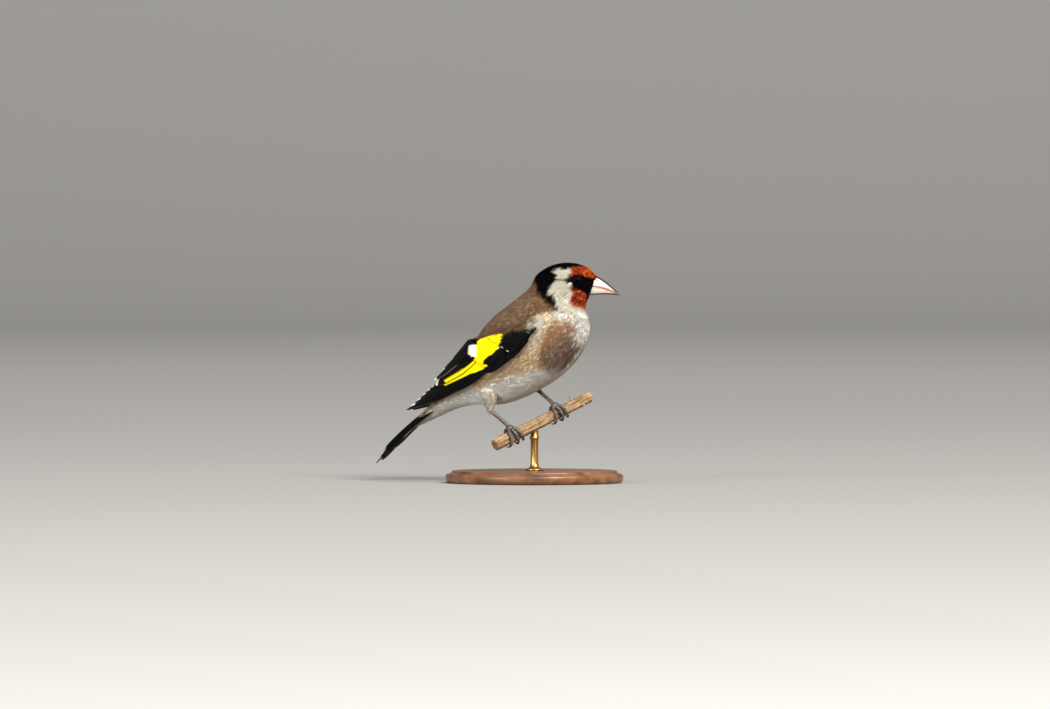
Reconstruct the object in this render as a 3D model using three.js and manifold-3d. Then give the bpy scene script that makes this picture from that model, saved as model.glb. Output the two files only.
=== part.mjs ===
// European goldfinch, life size, gripping a cut length of thistle stem on a small display stand.
// Units are millimetres and +Z is up. The bird heads along +X, so its right side faces -Y, and
// the origin is the middle of the base's underside.
import * as THREE from "three";
import { mergeVertices } from "three/addons/utils/BufferGeometryUtils.js";
import Module from "manifold-3d";

const wasm = await Module();
wasm.setup();

// Driving sizes of the whole model
const GAP = 0.3; // clear space between solids that meet
const BODY_PITCH = degrees(42); // trunk above the horizontal
const HEAD_TURN = degrees(20); // to the bird's left
const NECK_PIVOT_X = 7.6;
const BODY_MIDDLE = { x: -11.4, z: 47.9 };
const HEAD_MIDDLE = { x: 13.3, z: 80.6 }; // before the head turns
const EYE = { along: 4.4, above: 1.7, radius: 2.15, proud: 0.75, lid: 0.42 };
const BILL = { root: [10.65, -0.9], tip: [22.0, -4.55], rise: 4.3, drop: 3.7, half: 3.1, droop: degrees(17) };
const NOSTRIL = { along: 12.5, side: 1.95, above: 1.1 };
const TAIL = {
  root: [-20.6, 4.5], // along and above the body's middle
  lengths: [41.5, 42, 43, 45, 48, 41], // from the middle pair outwards
  pitch: degrees(26),
  bend: degrees(0.48), // more pitch for every millimetre
  roll: degrees(8),
  splay: degrees(1.0), // between neighbouring feathers
  step: 0.32, // each pair lies this far under the one inside it
  arch: 0.02, // how fast the tail falls away to its sides
};
const PERCH = { radius: 2.3, length: 48, behind: 20, rise: degrees(23.3), heading: degrees(49.8) };
const PERCH_MIDDLE = new THREE.Vector3(0, 0, 23.5);
const FOOT_SPACING = 22.8; // between the two feet, along the stem
const BASE = { radius: 36, thickness: 5, edge: 1.2 };
const ROD_RADIUS = 1.6;

function degrees(value) {
  return (value * Math.PI) / 180;
}

// Cross-sections of the body from the bill to the tail coverts. Each has its top and bottom point
// as [along, above] its part's middle, its half width and how far the head's turn has grown there.
const HEAD_SECTIONS = [
  { top: [12.0, 3.4], bottom: [9.3, -5.2], half: 3.5 },
  { top: [10.7, 5.1], bottom: [8.8, -6.3], half: 5.6 },
  { top: [8.2, 6.9], bottom: [8.3, -7.4], half: 7.5 },
  { top: [4.0, 8.3], bottom: [8.0, -8.5], half: 8.9 },
  { top: [-1.4, 8.5], bottom: [7.9, -9.5], half: 9.4 },
  { top: [-6.8, 7.1], bottom: [7.9, -10.5], half: 9.6 },
  { top: [-11.5, 4.1], bottom: [8.0, -11.5], half: 9.9 },
];
const TRUNK_SECTIONS = [
  { top: [31.2, 17.6], bottom: [38.2, -5.8], half: 10.7, turn: 0.75 },
  { top: [28.2, 16.5], bottom: [37.5, -8.8], half: 11.8, turn: 0.5 },
  { top: [23.5, 16.6], bottom: [35.0, -12.6], half: 13.6, turn: 0.25 },
  { top: [17, 17.2], bottom: [29.5, -16], half: 15.4, turn: 0.05 },
  { top: [10.5, 17.9], bottom: [21, -18], half: 16.4 },
  { top: [4, 17.6], bottom: [12, -18.1], half: 16.5 },
  { top: [-2.5, 16.2], bottom: [3, -16.3], half: 15.6 },
  { top: [-8.5, 14.4], bottom: [-6, -13.6], half: 13.9 },
  { top: [-14, 12.8], bottom: [-14, -9.4], half: 11.6 },
  { top: [-19.5, 11.6], bottom: [-20.5, -3.4], half: 9.2 },
  { top: [-26, 10.6], bottom: [-28, 1.2], half: 7.0 },
  { top: [-33, 10.1], bottom: [-36, 4.0], half: 5.3 },
  { top: [-39, 9.9], bottom: [-43, 6.3], half: 4.0 },
];
const NECK_START = 6.4; // section numbers where the body is parted
const TRUNK_START = 8.3;
const TAIL_START = 17;
const FULLNESS = 2.15; // roundness of the sections: 2 is an ellipse

function sagittal(middle, pitch, [along, above]) {
  return {
    x: middle.x + along * Math.cos(pitch) - above * Math.sin(pitch),
    z: middle.z + along * Math.sin(pitch) + above * Math.cos(pitch),
  };
}

const inBody = (point) => sagittal(BODY_MIDDLE, BODY_PITCH, point);
const inHead = (point) => sagittal(HEAD_MIDDLE, 0, point);

const SECTIONS = [
  ...HEAD_SECTIONS.map((s) => ({ top: inHead(s.top), bottom: inHead(s.bottom), half: s.half, turn: 1 })),
  ...TRUNK_SECTIONS.map((s) => ({
    top: inBody(s.top),
    bottom: inBody(s.bottom),
    half: s.half,
    turn: s.turn ?? 0,
  })),
];

// Catmull-Rom through equally spaced values
function smooth(values, t) {
  const i = Math.min(Math.max(Math.floor(t), 0), values.length - 2);
  const f = t - i;
  const at = (k) => values[Math.min(Math.max(k, 0), values.length - 1)];
  const [a, b, c, d] = [at(i - 1), at(i), at(i + 1), at(i + 2)];
  return b + 0.5 * f * (c - a + f * (2 * a - 5 * b + 4 * c - d + f * (3 * (b - c) + d - a)));
}

const sectionValue = (pick) => {
  const values = SECTIONS.map(pick);
  return (t) => smooth(values, t);
};
const topX = sectionValue((s) => s.top.x);
const topZ = sectionValue((s) => s.top.z);
const bottomX = sectionValue((s) => s.bottom.x);
const bottomZ = sectionValue((s) => s.bottom.z);
const halfWidth = sectionValue((s) => s.half);
const turnShare = sectionValue((s) => s.turn);

// Turns a point about the neck's upright axis by the head's turn at section t
function turned(point, t) {
  const angle = HEAD_TURN * turnShare(t);
  const x = point.x - NECK_PIVOT_X;
  return new THREE.Vector3(
    NECK_PIVOT_X + x * Math.cos(angle) - point.y * Math.sin(angle),
    x * Math.sin(angle) + point.y * Math.cos(angle),
    point.z,
  );
}

const headPoint = (along, side, above) => {
  const p = inHead([along, above]);
  return turned(new THREE.Vector3(p.x, side, p.z), 0);
};

function roundness(angle, fullness) {
  const sum = Math.abs(Math.cos(angle)) ** fullness + Math.abs(Math.sin(angle)) ** fullness;
  return sum ** (-1 / fullness);
}

// Point on the body at section t. Angle 0 is the back, a half turn the belly, and positive is left.
function bodyPoint(t, angle, grow = 0, shift = 0) {
  const top = new THREE.Vector3(topX(t), 0, topZ(t));
  const bottom = new THREE.Vector3(bottomX(t), 0, bottomZ(t));
  const up = top.clone().sub(bottom);
  const height = up.length() + 2 * grow;
  up.normalize();
  const forward = new THREE.Vector3(up.z, 0, -up.x);
  const centre = top.clone().add(bottom).multiplyScalar(0.5);
  const r = roundness(angle, FULLNESS);
  const point = centre.addScaledVector(up, 0.5 * height * Math.cos(angle) * r);
  point.addScaledVector(forward, -shift);
  point.y += (halfWidth(t) + grow) * Math.sin(angle) * r;
  return turned(point, t);
}

// Closed solids from points and faces, turned to face outwards
function closed(points, faces) {
  const build = (order) =>
    new wasm.Manifold(
      new wasm.Mesh({
        numProp: 3,
        vertProperties: new Float32Array(points.flatMap((p) => [p.x, p.y, p.z])),
        triVerts: new Uint32Array(faces.flatMap(order)),
      }),
    );
  const made = build((f) => f);
  return made.volume() > 0 ? made : build(([a, b, c]) => [a, c, b]);
}

// Skin through rings of equal length, with its two end rings closed about their middles
function loft(rings) {
  const sides = rings[0].length;
  const points = rings.flat();
  const faces = [];
  for (let i = 0; i + 1 < rings.length; i++)
    for (let j = 0; j < sides; j++) {
      const k = (j + 1) % sides;
      const [a, b] = [i * sides + j, i * sides + k];
      faces.push([a, b, b + sides], [a, b + sides, a + sides]);
    }
  const middle = (ring) => ring.reduce((sum, p) => sum.add(p), new THREE.Vector3()).divideScalar(sides);
  const last = (rings.length - 1) * sides;
  points.push(middle(rings[0]), middle(rings.at(-1)));
  for (let j = 0; j < sides; j++) {
    const k = (j + 1) % sides;
    faces.push([j, points.length - 2, k], [last + j, last + k, points.length - 1]);
  }
  return closed(points, faces);
}

// Slab between two grids of points, outer over inner, split into triangles alike on both faces
function slab(outer, inner) {
  const [rows, columns] = [outer.length, outer[0].length];
  const points = [...outer.flat(), ...inner.flat()];
  const under = rows * columns;
  const at = (i, j) => i * columns + j;
  const faces = [];
  const quad = (a, b, c, d) => faces.push([a, b, c], [a, c, d]);
  for (let i = 0; i + 1 < rows; i++)
    for (let j = 0; j + 1 < columns; j++) {
      const [a, b, c, d] = [at(i, j), at(i, j + 1), at(i + 1, j + 1), at(i + 1, j)];
      quad(a, b, c, d);
      faces.push([under + a, under + c, under + b], [under + a, under + d, under + c]);
    }
  for (let i = 0; i + 1 < rows; i++) {
    const [a, b] = [at(i, 0), at(i + 1, 0)];
    const [c, d] = [at(i, columns - 1), at(i + 1, columns - 1)];
    quad(b, under + b, under + a, a);
    quad(c, under + c, under + d, d);
  }
  for (let j = 0; j + 1 < columns; j++) {
    const [a, b] = [at(0, j), at(0, j + 1)];
    const [c, d] = [at(rows - 1, j), at(rows - 1, j + 1)];
    quad(a, under + a, under + b, b);
    quad(d, under + d, under + c, c);
  }
  return closed(points, faces);
}

// Round tube along points, with a radius at each of them
function tube(path, radii, sides) {
  const forward = path.map((p, i) =>
    (path[i + 1] ?? p)
      .clone()
      .sub(path[i - 1] ?? p)
      .normalize(),
  );
  let side = new THREE.Vector3(0, 0, 1).cross(forward[0]);
  if (side.length() < 0.2) side = new THREE.Vector3(1, 0, 0).cross(forward[0]);
  const rings = path.map((p, i) => {
    side.addScaledVector(forward[i], -side.dot(forward[i])).normalize();
    const other = forward[i].clone().cross(side);
    return Array.from({ length: sides }, (_, j) => {
      const angle = (2 * Math.PI * j) / sides;
      const out = side.clone().multiplyScalar(Math.cos(angle)).addScaledVector(other, Math.sin(angle));
      return p.clone().addScaledVector(out, radii[i]);
    });
  });
  return loft(rings);
}

// A three.js geometry as a solid, placed by a matrix
function solidOf(geometry, matrix = new THREE.Matrix4()) {
  const plain = new THREE.BufferGeometry();
  plain.setAttribute("position", geometry.getAttribute("position"));
  if (geometry.index) plain.setIndex(geometry.index);
  const merged = mergeVertices(plain.applyMatrix4(matrix), 1e-4);
  return new wasm.Manifold(
    new wasm.Mesh({
      numProp: 3,
      vertProperties: new Float32Array(merged.attributes.position.array),
      triVerts: new Uint32Array(merged.index.array),
    }),
  );
}

const union = (solids) => solids.reduce((sum, s) => sum.add(s));

function largest(solid) {
  return solid.decompose().reduce((best, s) => (s.volume() > best.volume() ? s : best));
}

const steps = (count, from = 0, to = 1) =>
  Array.from({ length: count + 1 }, (_, i) => from + ((to - from) * i) / count);
const mix = (a, b, f) => a + (b - a) * f;

// Body: one form, parted into head, neck and trunk by planes
const BODY_SIDES = 26;

function bodyLength(from, to, count, grow = 0) {
  const rings = steps(count, from, to).map((t, i) => {
    const shift = i === 0 ? GAP / 2 : i === count ? -GAP / 2 : 0;
    return steps(BODY_SIDES - 1, 0, 2 * Math.PI * (1 - 1 / BODY_SIDES)).map((angle) =>
      bodyPoint(t, angle, grow, grow ? 0 : shift),
    );
  });
  return loft(rings);
}

const grownTrunk = bodyLength(NECK_START, TAIL_START + 1.6, 26, GAP);

// Eyes: a ball in a socket, with a raised lid round it
function eyeMiddle(side) {
  const surface = headSurface(EYE.along, EYE.above);
  return headPoint(EYE.along, side * (surface - EYE.radius + EYE.proud), EYE.above);
}

// Half width of the head at a point of its side view, found by halving along one section
function headSurface(along, above) {
  const aim = inHead([along, above]);
  let best = { gap: Infinity, side: 0 };
  for (const t of steps(60, 1, 5))
    for (const angle of steps(60, 0.4, 2.6)) {
      const r = roundness(angle, FULLNESS);
      const x = mix(bottomX(t), topX(t), 0.5 + 0.5 * Math.cos(angle) * r);
      const z = mix(bottomZ(t), topZ(t), 0.5 + 0.5 * Math.cos(angle) * r);
      const gap = Math.hypot(x - aim.x, z - aim.z);
      if (gap < best.gap) best = { gap, side: halfWidth(t) * Math.sin(angle) * r };
    }
  return best.side;
}

const SIDES = { left: 1, right: -1 };

function eyeball(side) {
  const centre = eyeMiddle(side);
  return new THREE.Matrix4().makeTranslation(centre.x, centre.y, centre.z);
}

function head() {
  let form = bodyLength(0, NECK_START, 14);
  for (const side of Object.values(SIDES)) {
    const centre = eyeMiddle(side);
    const outwards = headPoint(EYE.along, side, EYE.above).sub(headPoint(EYE.along, 0, EYE.above));
    const facing = new THREE.Quaternion().setFromUnitVectors(new THREE.Vector3(0, 0, 1), outwards.normalize());
    const lidPlace = centre.clone().addScaledVector(outwards, EYE.radius - EYE.proud - 0.15);
    const lidMatrix = new THREE.Matrix4().compose(lidPlace, facing, new THREE.Vector3(1.06, 0.96, 1));
    form = form.add(solidOf(new THREE.TorusGeometry(EYE.radius + 0.1, EYE.lid, 5, 16), lidMatrix));
    form = form.subtract(solidOf(new THREE.SphereGeometry(EYE.radius + GAP, 14, 8), eyeball(side)));
  }
  return largest(form);
}

// Bill: two cones that share the line of the mouth, set on the plane of the head's first section
const BILL_STATIONS = 7;

function billHalf(upper) {
  const root = headPoint(BILL.root[0], 0, BILL.root[1]);
  const tip = headPoint(BILL.tip[0], 0, BILL.tip[1]);
  const side = headPoint(0, 1, 0).sub(headPoint(0, 0, 0));
  const base = bodyPoint(0, 0).sub(bodyPoint(0, Math.PI)).normalize();
  const outward = side.clone().cross(base).normalize();
  const rings = steps(BILL_STATIONS).map((f) => {
    const centre = root.clone().lerp(tip, f).addScaledVector(outward, f === 0 ? GAP : 0);
    centre.z += 0.55 * Math.sin(Math.PI * f) + (upper ? 1 : -1) * 0.5 * GAP;
    const reach = (upper ? BILL.rise : BILL.drop) * (1 - f ** (upper ? 1.25 : 1.1)) + 0.12;
    const half = BILL.half * (1 - f ** 1.15) + 0.14;
    const tilt = base.clone().lerp(new THREE.Vector3(0, 0, 1), f).normalize();
    return steps(8).map((g) => {
      const angle = Math.PI * g;
      const out = centre.clone().addScaledVector(side, half * Math.cos(angle));
      return out.addScaledVector(tilt, (upper ? 1 : -1) * reach * Math.sin(angle) ** 0.85);
    });
  });
  return loft(rings);
}

function upperBill() {
  const pits = Object.values(SIDES).map((side) => {
    const place = headPoint(NOSTRIL.along, side * NOSTRIL.side, NOSTRIL.above);
    const shape = new THREE.Vector3(0.75, 0.5, 0.4);
    const slope = new THREE.Quaternion().setFromAxisAngle(new THREE.Vector3(0, 1, 0), BILL.droop);
    return solidOf(new THREE.SphereGeometry(1, 8, 6), new THREE.Matrix4().compose(place, slope, shape));
  });
  return largest(billHalf(true).subtract(union(pits)));
}

// Wing: feathers lie on a bed that wraps the folded wing round the body and on to its tips.
// The bed has a half width, the height of its top and the height of its middle at each station.
const BED_STEP = 10;
const BED_START = 30; // millimetres ahead of the body's middle
const BED = [
  { half: 12.8, top: 15.4, middle: 0 },
  { half: 15.6, top: 17.2, middle: 0 },
  { half: 16.9, top: 18.2, middle: 0 },
  { half: 16.8, top: 17.6, middle: 0 },
  { half: 14.9, top: 16.4, middle: 0.8 },
  { half: 11.8, top: 15.6, middle: 3.6 },
  { half: 8.1, top: 14.9, middle: 6.9 },
  { half: 4.9, top: 14.7, middle: 11.4 },
  { half: 3.4, top: 15.6, middle: 14.4 },
];
const bedValue = (key) => {
  const values = BED.map((b) => b[key]);
  return (along) => smooth(values, (BED_START - along) / BED_STEP);
};
const bedHalf = bedValue("half");
const bedTop = bedValue("top");
const bedMiddle = bedValue("middle");

// The shoulder feathers of the trunk cover the wing above this line, where the wing tucks under
const SHOULDER_LINE = [84, 83, 70, 42, -8, -20]; // degrees round from the back, at each bed station
const SHOULDER_TUCK = 3.4;
const TUCK_RANGE = 24;

function tuck(along, angle) {
  const line = smooth(SHOULDER_LINE, Math.min((BED_START - along) / BED_STEP, 5));
  const share = Math.min(Math.max((line + 4 - angle) / TUCK_RANGE, 0), 1);
  return SHOULDER_TUCK * share * share * (3 - 2 * share);
}

// Point on the wing's bed: along the body, degrees from the back round to the side, and height
function bedPoint(side, along, angle, height) {
  const middle = bedMiddle(along);
  const a = degrees(Math.max(angle, 3));
  const raised = height - tuck(along, angle);
  const above = middle + (bedTop(along) - middle + raised) * Math.cos(a);
  const p = inBody([along, above]);
  return new THREE.Vector3(p.x, side * (bedHalf(along) + raised) * Math.sin(a), p.z);
}

const bedRadius = (along) => Math.sqrt(bedHalf(along) * (bedTop(along) - bedMiddle(along)));

// Outline of a feather: its share of the full half width at f from root to tip
function vaneOutline(f, point) {
  const root = mix(0.55, 1, Math.min(f / 0.45, 1));
  const shoulder = 0.72;
  if (f < shoulder) return root;
  return Math.max(1 - ((f - shoulder) / (1 - shoulder)) ** point, 0.16);
}

// One feather on the bed, tilted so that its lower edge lies over the feather below it
function vane(side, feather) {
  const { from, to, width, lift = 0, tilt = 0.17, thick = 0.6, point = 2, bow = 0 } = feather;
  const rows = steps(feather.rows ?? 5).map((f) => {
    const along = mix(from[0], to[0], f);
    const angle = mix(from[1], to[1], f ** (feather.late ?? 1)) + bow * Math.sin(Math.PI * f);
    const half = 0.5 * width * vaneOutline(f, point);
    const high = mix(lift, feather.tipLift ?? lift, f);
    return [1, 0, -1].map((share) => {
      const turn = (share * half) / bedRadius(along);
      return { along, angle: angle + (turn * 180) / Math.PI, height: high + tilt * share * half };
    });
  });
  const face = (offset) =>
    rows.map((row) => row.map((p) => bedPoint(side, p.along, p.angle, p.height + offset)));
  return slab(face(thick / 2), face(-thick / 2));
}

const row = (count, make) => Array.from({ length: count }, (_, i) => make(i / (count - 1), i));

// The feather groups of one folded wing, from the leading edge up to the back. Each feather runs
// from its root to its tip, both as millimetres along the body and degrees round from the back.
const PRIMARY_TIPS = [-42.5, -44, -44, -42, -38.5, -35, -32, -29.5];
const PRIMARY_ANGLES = [64, 56, 48, 38, 30, 27, 30, 36];
const FEATHERS = [
  ...row(8, (f, i) => ({
    from: [mix(3, -5, f), mix(86, 66, f)],
    to: [PRIMARY_TIPS[i], PRIMARY_ANGLES[i]],
    width: 4.8,
    lift: 0.8,
    tipLift: 0.5,
    bow: mix(1, 4, f),
    late: 1.5,
    point: 1.6,
    rows: 7,
  })),
  ...row(4, (f) => ({
    from: [mix(-3, -6, f), mix(66, 48, f)],
    to: [mix(-27, -24.5, f), mix(45, 32, f)],
    width: 5.4,
    lift: 1.1,
    tipLift: 0.9,
    bow: 3,
    rows: 5,
  })),
  ...row(3, (f) => ({
    from: [mix(0, 1, f), mix(50, 22, f)],
    to: [mix(-27, -15.5, f), mix(24, 13, f)],
    width: mix(7, 7.4, f),
    lift: 1.5,
    tipLift: 1.3,
    rows: 5,
  })),
  ...row(6, (f) => ({
    from: [mix(11, 8, f), mix(82, 54, f)],
    to: [mix(-3.8, -7.2, f), mix(81, 50, f)],
    width: 5.4,
    lift: 1.6,
    tipLift: 1.75,
    rows: 4,
  })),
  ...row(4, (f) => ({
    from: [mix(14, 12, f), mix(97, 86, f)],
    to: [mix(-3, -2.4, f), mix(91.5, 84, f)],
    width: 3.6,
    lift: 1.2,
    tipLift: 1.35,
    rows: 4,
  })),
  ...row(5, (f) => ({
    from: [mix(20, 14, f), mix(91, 66, f)],
    to: [mix(8, 3.5, f), mix(89, 62, f)],
    width: 5.4,
    lift: 2.0,
    tipLift: 2.25,
    rows: 3,
  })),
];

// The wing's arm and hand under the coverts, as a curved slab that thins out to its edges
const ARM = { front: 26, back: -9, lowFront: 92, low: 98, lowBack: 86, high: 40, depth: 2.1 };

function arm(side) {
  const rows = steps(9).map((f) => {
    const along = mix(ARM.front, ARM.back, f);
    const low = smooth([ARM.lowFront, ARM.low + 2, ARM.low - 1, ARM.lowBack], 3 * f);
    const high = mix(smooth(SHOULDER_LINE, (BED_START - along) / BED_STEP), ARM.high, f ** 2) - 10;
    return steps(6).map((g) => {
      const across = Math.sin(Math.PI * mix(0.1, 0.9, g)) ** 0.6;
      const lengthwise = Math.sin(Math.PI * mix(0.14, 0.9, f)) ** 0.5;
      return { along, angle: mix(low, high, g), height: 0.2 + ARM.depth * across * lengthwise };
    });
  });
  const face = (pick) => rows.map((r) => r.map((p) => bedPoint(side, p.along, p.angle, pick(p))));
  return slab(
    face((p) => p.height),
    face(() => -1.2),
  );
}

function wing(side) {
  const feathers = FEATHERS.map((feather) => vane(side, feather));
  return largest(union([arm(side), ...feathers]).subtract(grownTrunk));
}

// Tail: a core of coverts that carries twelve forked feathers and two tiers of covert feathers.
// It bends down towards its tip and is rolled a little, its left side up.
const tailRoot = inBody(TAIL.root);

function tailPoint(along, side, above) {
  const pitch = TAIL.pitch + 0.5 * TAIL.bend * along;
  const rolledSide = side * Math.cos(TAIL.roll) - above * Math.sin(TAIL.roll);
  const rolledAbove = side * Math.sin(TAIL.roll) + above * Math.cos(TAIL.roll);
  const lean = TAIL.pitch + TAIL.bend * along;
  return new THREE.Vector3(
    tailRoot.x - along * Math.cos(pitch) - rolledAbove * Math.sin(lean),
    rolledSide,
    tailRoot.z - along * Math.sin(pitch) + rolledAbove * Math.cos(lean),
  );
}

function tailFeather({ from, to, start, splay, width, level, thick = 0.55, point = 1.7, rows = 6 }) {
  const grid = steps(rows).map((f) => {
    const along = mix(from, to, f);
    const middle = start + (along - from) * Math.tan(splay);
    const half = 0.5 * width * mix(0.6, 1, Math.min(f / 0.6, 1)) * Math.min(vaneOutline(f, point) + 0.02, 1);
    return [1, 0, -1].map((share) => {
      const side = middle + share * half;
      return { along, side, above: level - TAIL.arch * side * side };
    });
  });
  const face = (offset) => grid.map((r) => r.map((p) => tailPoint(p.along, p.side, p.above + offset)));
  return slab(face(thick / 2), face(-thick / 2));
}

function tail() {
  const parts = [bodyLength(TAIL_START, SECTIONS.length - 1, 6)];
  for (const side of Object.values(SIDES))
    TAIL.lengths.forEach((length, pair) => {
      const out = (pair + 0.5) * side;
      parts.push(
        tailFeather({
          from: 8.5,
          to: length,
          start: 0.4 * out,
          splay: out * TAIL.splay,
          width: 5,
          level: 1.3 - TAIL.step * (pair + (side < 0 ? 0.45 : 0)),
        }),
      );
    });
  for (const [level, reach, count] of [
    [2.5, 20, 4],
    [-1.4, 24, 4],
  ])
    for (const share of steps(count - 1, -1, 1))
      parts.push(
        tailFeather({
          from: 8,
          to: reach - 3 * Math.abs(share),
          start: 1.4 * share,
          splay: degrees(6) * share,
          width: 4,
          level: level + 0.25 * share,
          rows: 3,
        }),
      );
  return largest(union(parts));
}

// Perch: a ribbed, tapering, gently bent stem with a few spines
const stemAlong = new THREE.Vector3(
  Math.cos(PERCH.heading) * Math.cos(PERCH.rise),
  Math.sin(PERCH.heading) * Math.cos(PERCH.rise),
  Math.sin(PERCH.rise),
);
const stemAhead = new THREE.Vector3(1, 0, 0).addScaledVector(stemAlong, -stemAlong.x).normalize();
const stemUp = stemAhead.clone().cross(stemAlong).normalize();
const STEM_RIBS = 7;
const STEM_RIB = 0.14;
const STEM_TAPER = 0.006; // radius lost in each millimetre

// Point about the stem: along it, degrees round from its top towards the bird's front, and radius
function stemPoint(along, angle, radius) {
  const a = degrees(angle);
  return PERCH_MIDDLE.clone()
    .addScaledVector(stemAlong, along)
    .addScaledVector(stemUp, radius * Math.cos(a))
    .addScaledVector(stemAhead, radius * Math.sin(a));
}

const stemRadius = (along) => PERCH.radius - STEM_TAPER * along;

function stem(grow = 0) {
  const ends = [-PERCH.behind, PERCH.length - PERCH.behind];
  const rings = steps(4, ...ends).map((along) =>
    steps(4 * STEM_RIBS - 1, 0, 360 * (1 - 1 / (4 * STEM_RIBS))).map((angle) => {
      const rib = STEM_RIB * Math.cos(degrees(angle * STEM_RIBS));
      return stemPoint(along, angle, stemRadius(along) + rib + grow);
    }),
  );
  return loft(rings);
}

const STEM_SPINES = [
  { along: -16.5, angle: -60, length: 3.2 },
  { along: -14, angle: 120, length: 2.6 },
  { along: 19.5, angle: -25, length: 3.6 },
  { along: 22.5, angle: 95, length: 3.0 },
  { along: 24.5, angle: 205, length: 2.6 },
];

function perch() {
  const spines = STEM_SPINES.map(({ along, angle, length }) => {
    const reach = [PERCH.radius - 0.8, PERCH.radius + 0.4 * length, PERCH.radius + length];
    const path = reach.map((radius, i) => stemPoint(along + 0.5 * i, angle, radius));
    return tube(path, [0.75, 0.42, 0.1], 6);
  });
  return largest(union([stem(), ...spines]));
}

// Legs: a feathered thigh, a bare shank with four toes about the stem, and a claw on each toe
const LEGS = {
  right: {
    place: -FOOT_SPACING / 2,
    knee: [-16.6, -9.2, 41],
    heel: [-15.4, -10.2, 29.6],
    thigh: [6.4, 5.9, 4.7, 3.1, 1.5],
  },
  left: {
    place: FOOT_SPACING / 2,
    knee: [-8.5, 8.6, 46],
    heel: [-2.4, 8.2, 38.2],
    thigh: [5.6, 5.4, 4.5, 3.1, 1.6],
  },
};
const SHANK_RADIUS = 0.72;
const PAD_RADIUS = 1.15;
const TOES = {
  hallux: { turn: -1, spread: -0.1, length: 5.8, claw: 3.6, radius: 0.72, fan: -0.17 },
  inner: { turn: 1, spread: -1.4, length: 6.4, claw: 2.9, radius: 0.64, fan: -0.24 },
  middle: { turn: 1, spread: 0.1, length: 8.4, claw: 3.2, radius: 0.68, fan: 0.09 },
  outer: { turn: 1, spread: 1.6, length: 6.8, claw: 2.9, radius: 0.62, fan: 0.26 },
};
const TOE_START = 8; // degrees round the stem from its top

function thigh({ knee, heel, thigh: radii }) {
  const shares = steps(7);
  const path = shares.map((f) => new THREE.Vector3(...knee).lerp(new THREE.Vector3(...heel), f));
  return tube(
    path,
    shares.map((f) => smooth(radii, (radii.length - 1) * f)),
    14,
  );
}

// Path of a toe and its claw round the stem, at a distance reached along it
function toePoint(leg, toe, distance, radius) {
  const ring = stemRadius(leg.place) + STEM_RIB + GAP + radius;
  const angle = toe.turn * (TOE_START + (180 / Math.PI) * (distance / ring));
  return stemPoint(leg.place + toe.spread + toe.fan * distance, angle, ring);
}

function toeSolid(leg, toe) {
  const path = steps(7, 0, toe.length).map((d) => toePoint(leg, toe, d, toe.radius));
  const radii = steps(7).map((f) => toe.radius * (1 - 0.2 * f + 0.1 * Math.cos(6 * Math.PI * f)));
  return tube(path, radii, 7);
}

function claw(leg, toe) {
  const start = toe.length + GAP;
  const shares = steps(4);
  const path = shares.map((f) => {
    const lift = toe.radius * (1 - 0.35 * f);
    return toePoint(leg, toe, start + toe.claw * f, lift);
  });
  return tube(
    path,
    shares.map((f) => 0.48 * (1 - f ** 1.4) + 0.1),
    7,
  );
}

function foot(leg) {
  const heel = new THREE.Vector3(...leg.heel);
  const pad = stemPoint(leg.place, 0, stemRadius(leg.place) + STEM_RIB + GAP + PAD_RADIUS);
  const shank = tube(
    steps(5).map((f) => heel.clone().lerp(pad, f)),
    [1.05, 0.8, 0.7, 0.7, 0.78, 1.0].map((r) => (r * SHANK_RADIUS) / 0.72),
    8,
  );
  const sole = new THREE.Matrix4().makeTranslation(pad.x, pad.y, pad.z);
  const toes = Object.values(TOES).map((toe) => toeSolid(leg, toe));
  const whole = union([shank, solidOf(new THREE.SphereGeometry(PAD_RADIUS, 10, 8), sole), ...toes]);
  const grownThigh = thigh({ ...leg, thigh: leg.thigh.map((r) => r + GAP), heel: lowered(leg, GAP) });
  return largest(whole.subtract(grownThigh).subtract(grownTrunk).subtract(stem(0.9 * GAP)));
}

// The heel, moved on along the thigh by some distance
function lowered(leg, distance) {
  const knee = new THREE.Vector3(...leg.knee);
  const heel = new THREE.Vector3(...leg.heel);
  return heel.clone().addScaledVector(heel.clone().sub(knee).normalize(), distance).toArray();
}

// Stand: a round base with eased edges, and one rod up to the stem
function standBase() {
  const { radius, thickness, edge } = BASE;
  const corners = steps(3, 0, Math.PI / 2).map(
    (a) => new THREE.Vector2(radius - edge + edge * Math.cos(a), thickness - edge + edge * Math.sin(a)),
  );
  const profile = [
    new THREE.Vector2(0, 0),
    new THREE.Vector2(radius - edge / 2, 0),
    new THREE.Vector2(radius, edge / 2),
    ...corners,
    new THREE.Vector2(0, thickness),
  ];
  return new THREE.LatheGeometry(profile, 48);
}

function standRod() {
  const bottom = BASE.thickness + GAP;
  const height = PERCH_MIDDLE.z - bottom;
  const place = new THREE.Matrix4().compose(
    new THREE.Vector3(0, 0, bottom + height / 2),
    new THREE.Quaternion().setFromAxisAngle(new THREE.Vector3(1, 0, 0), Math.PI / 2),
    new THREE.Vector3(1, 1, 1),
  );
  const rod = solidOf(new THREE.CylinderGeometry(ROD_RADIUS, ROD_RADIUS, height, 20), place);
  return largest(rod.subtract(stem(GAP)));
}

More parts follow.
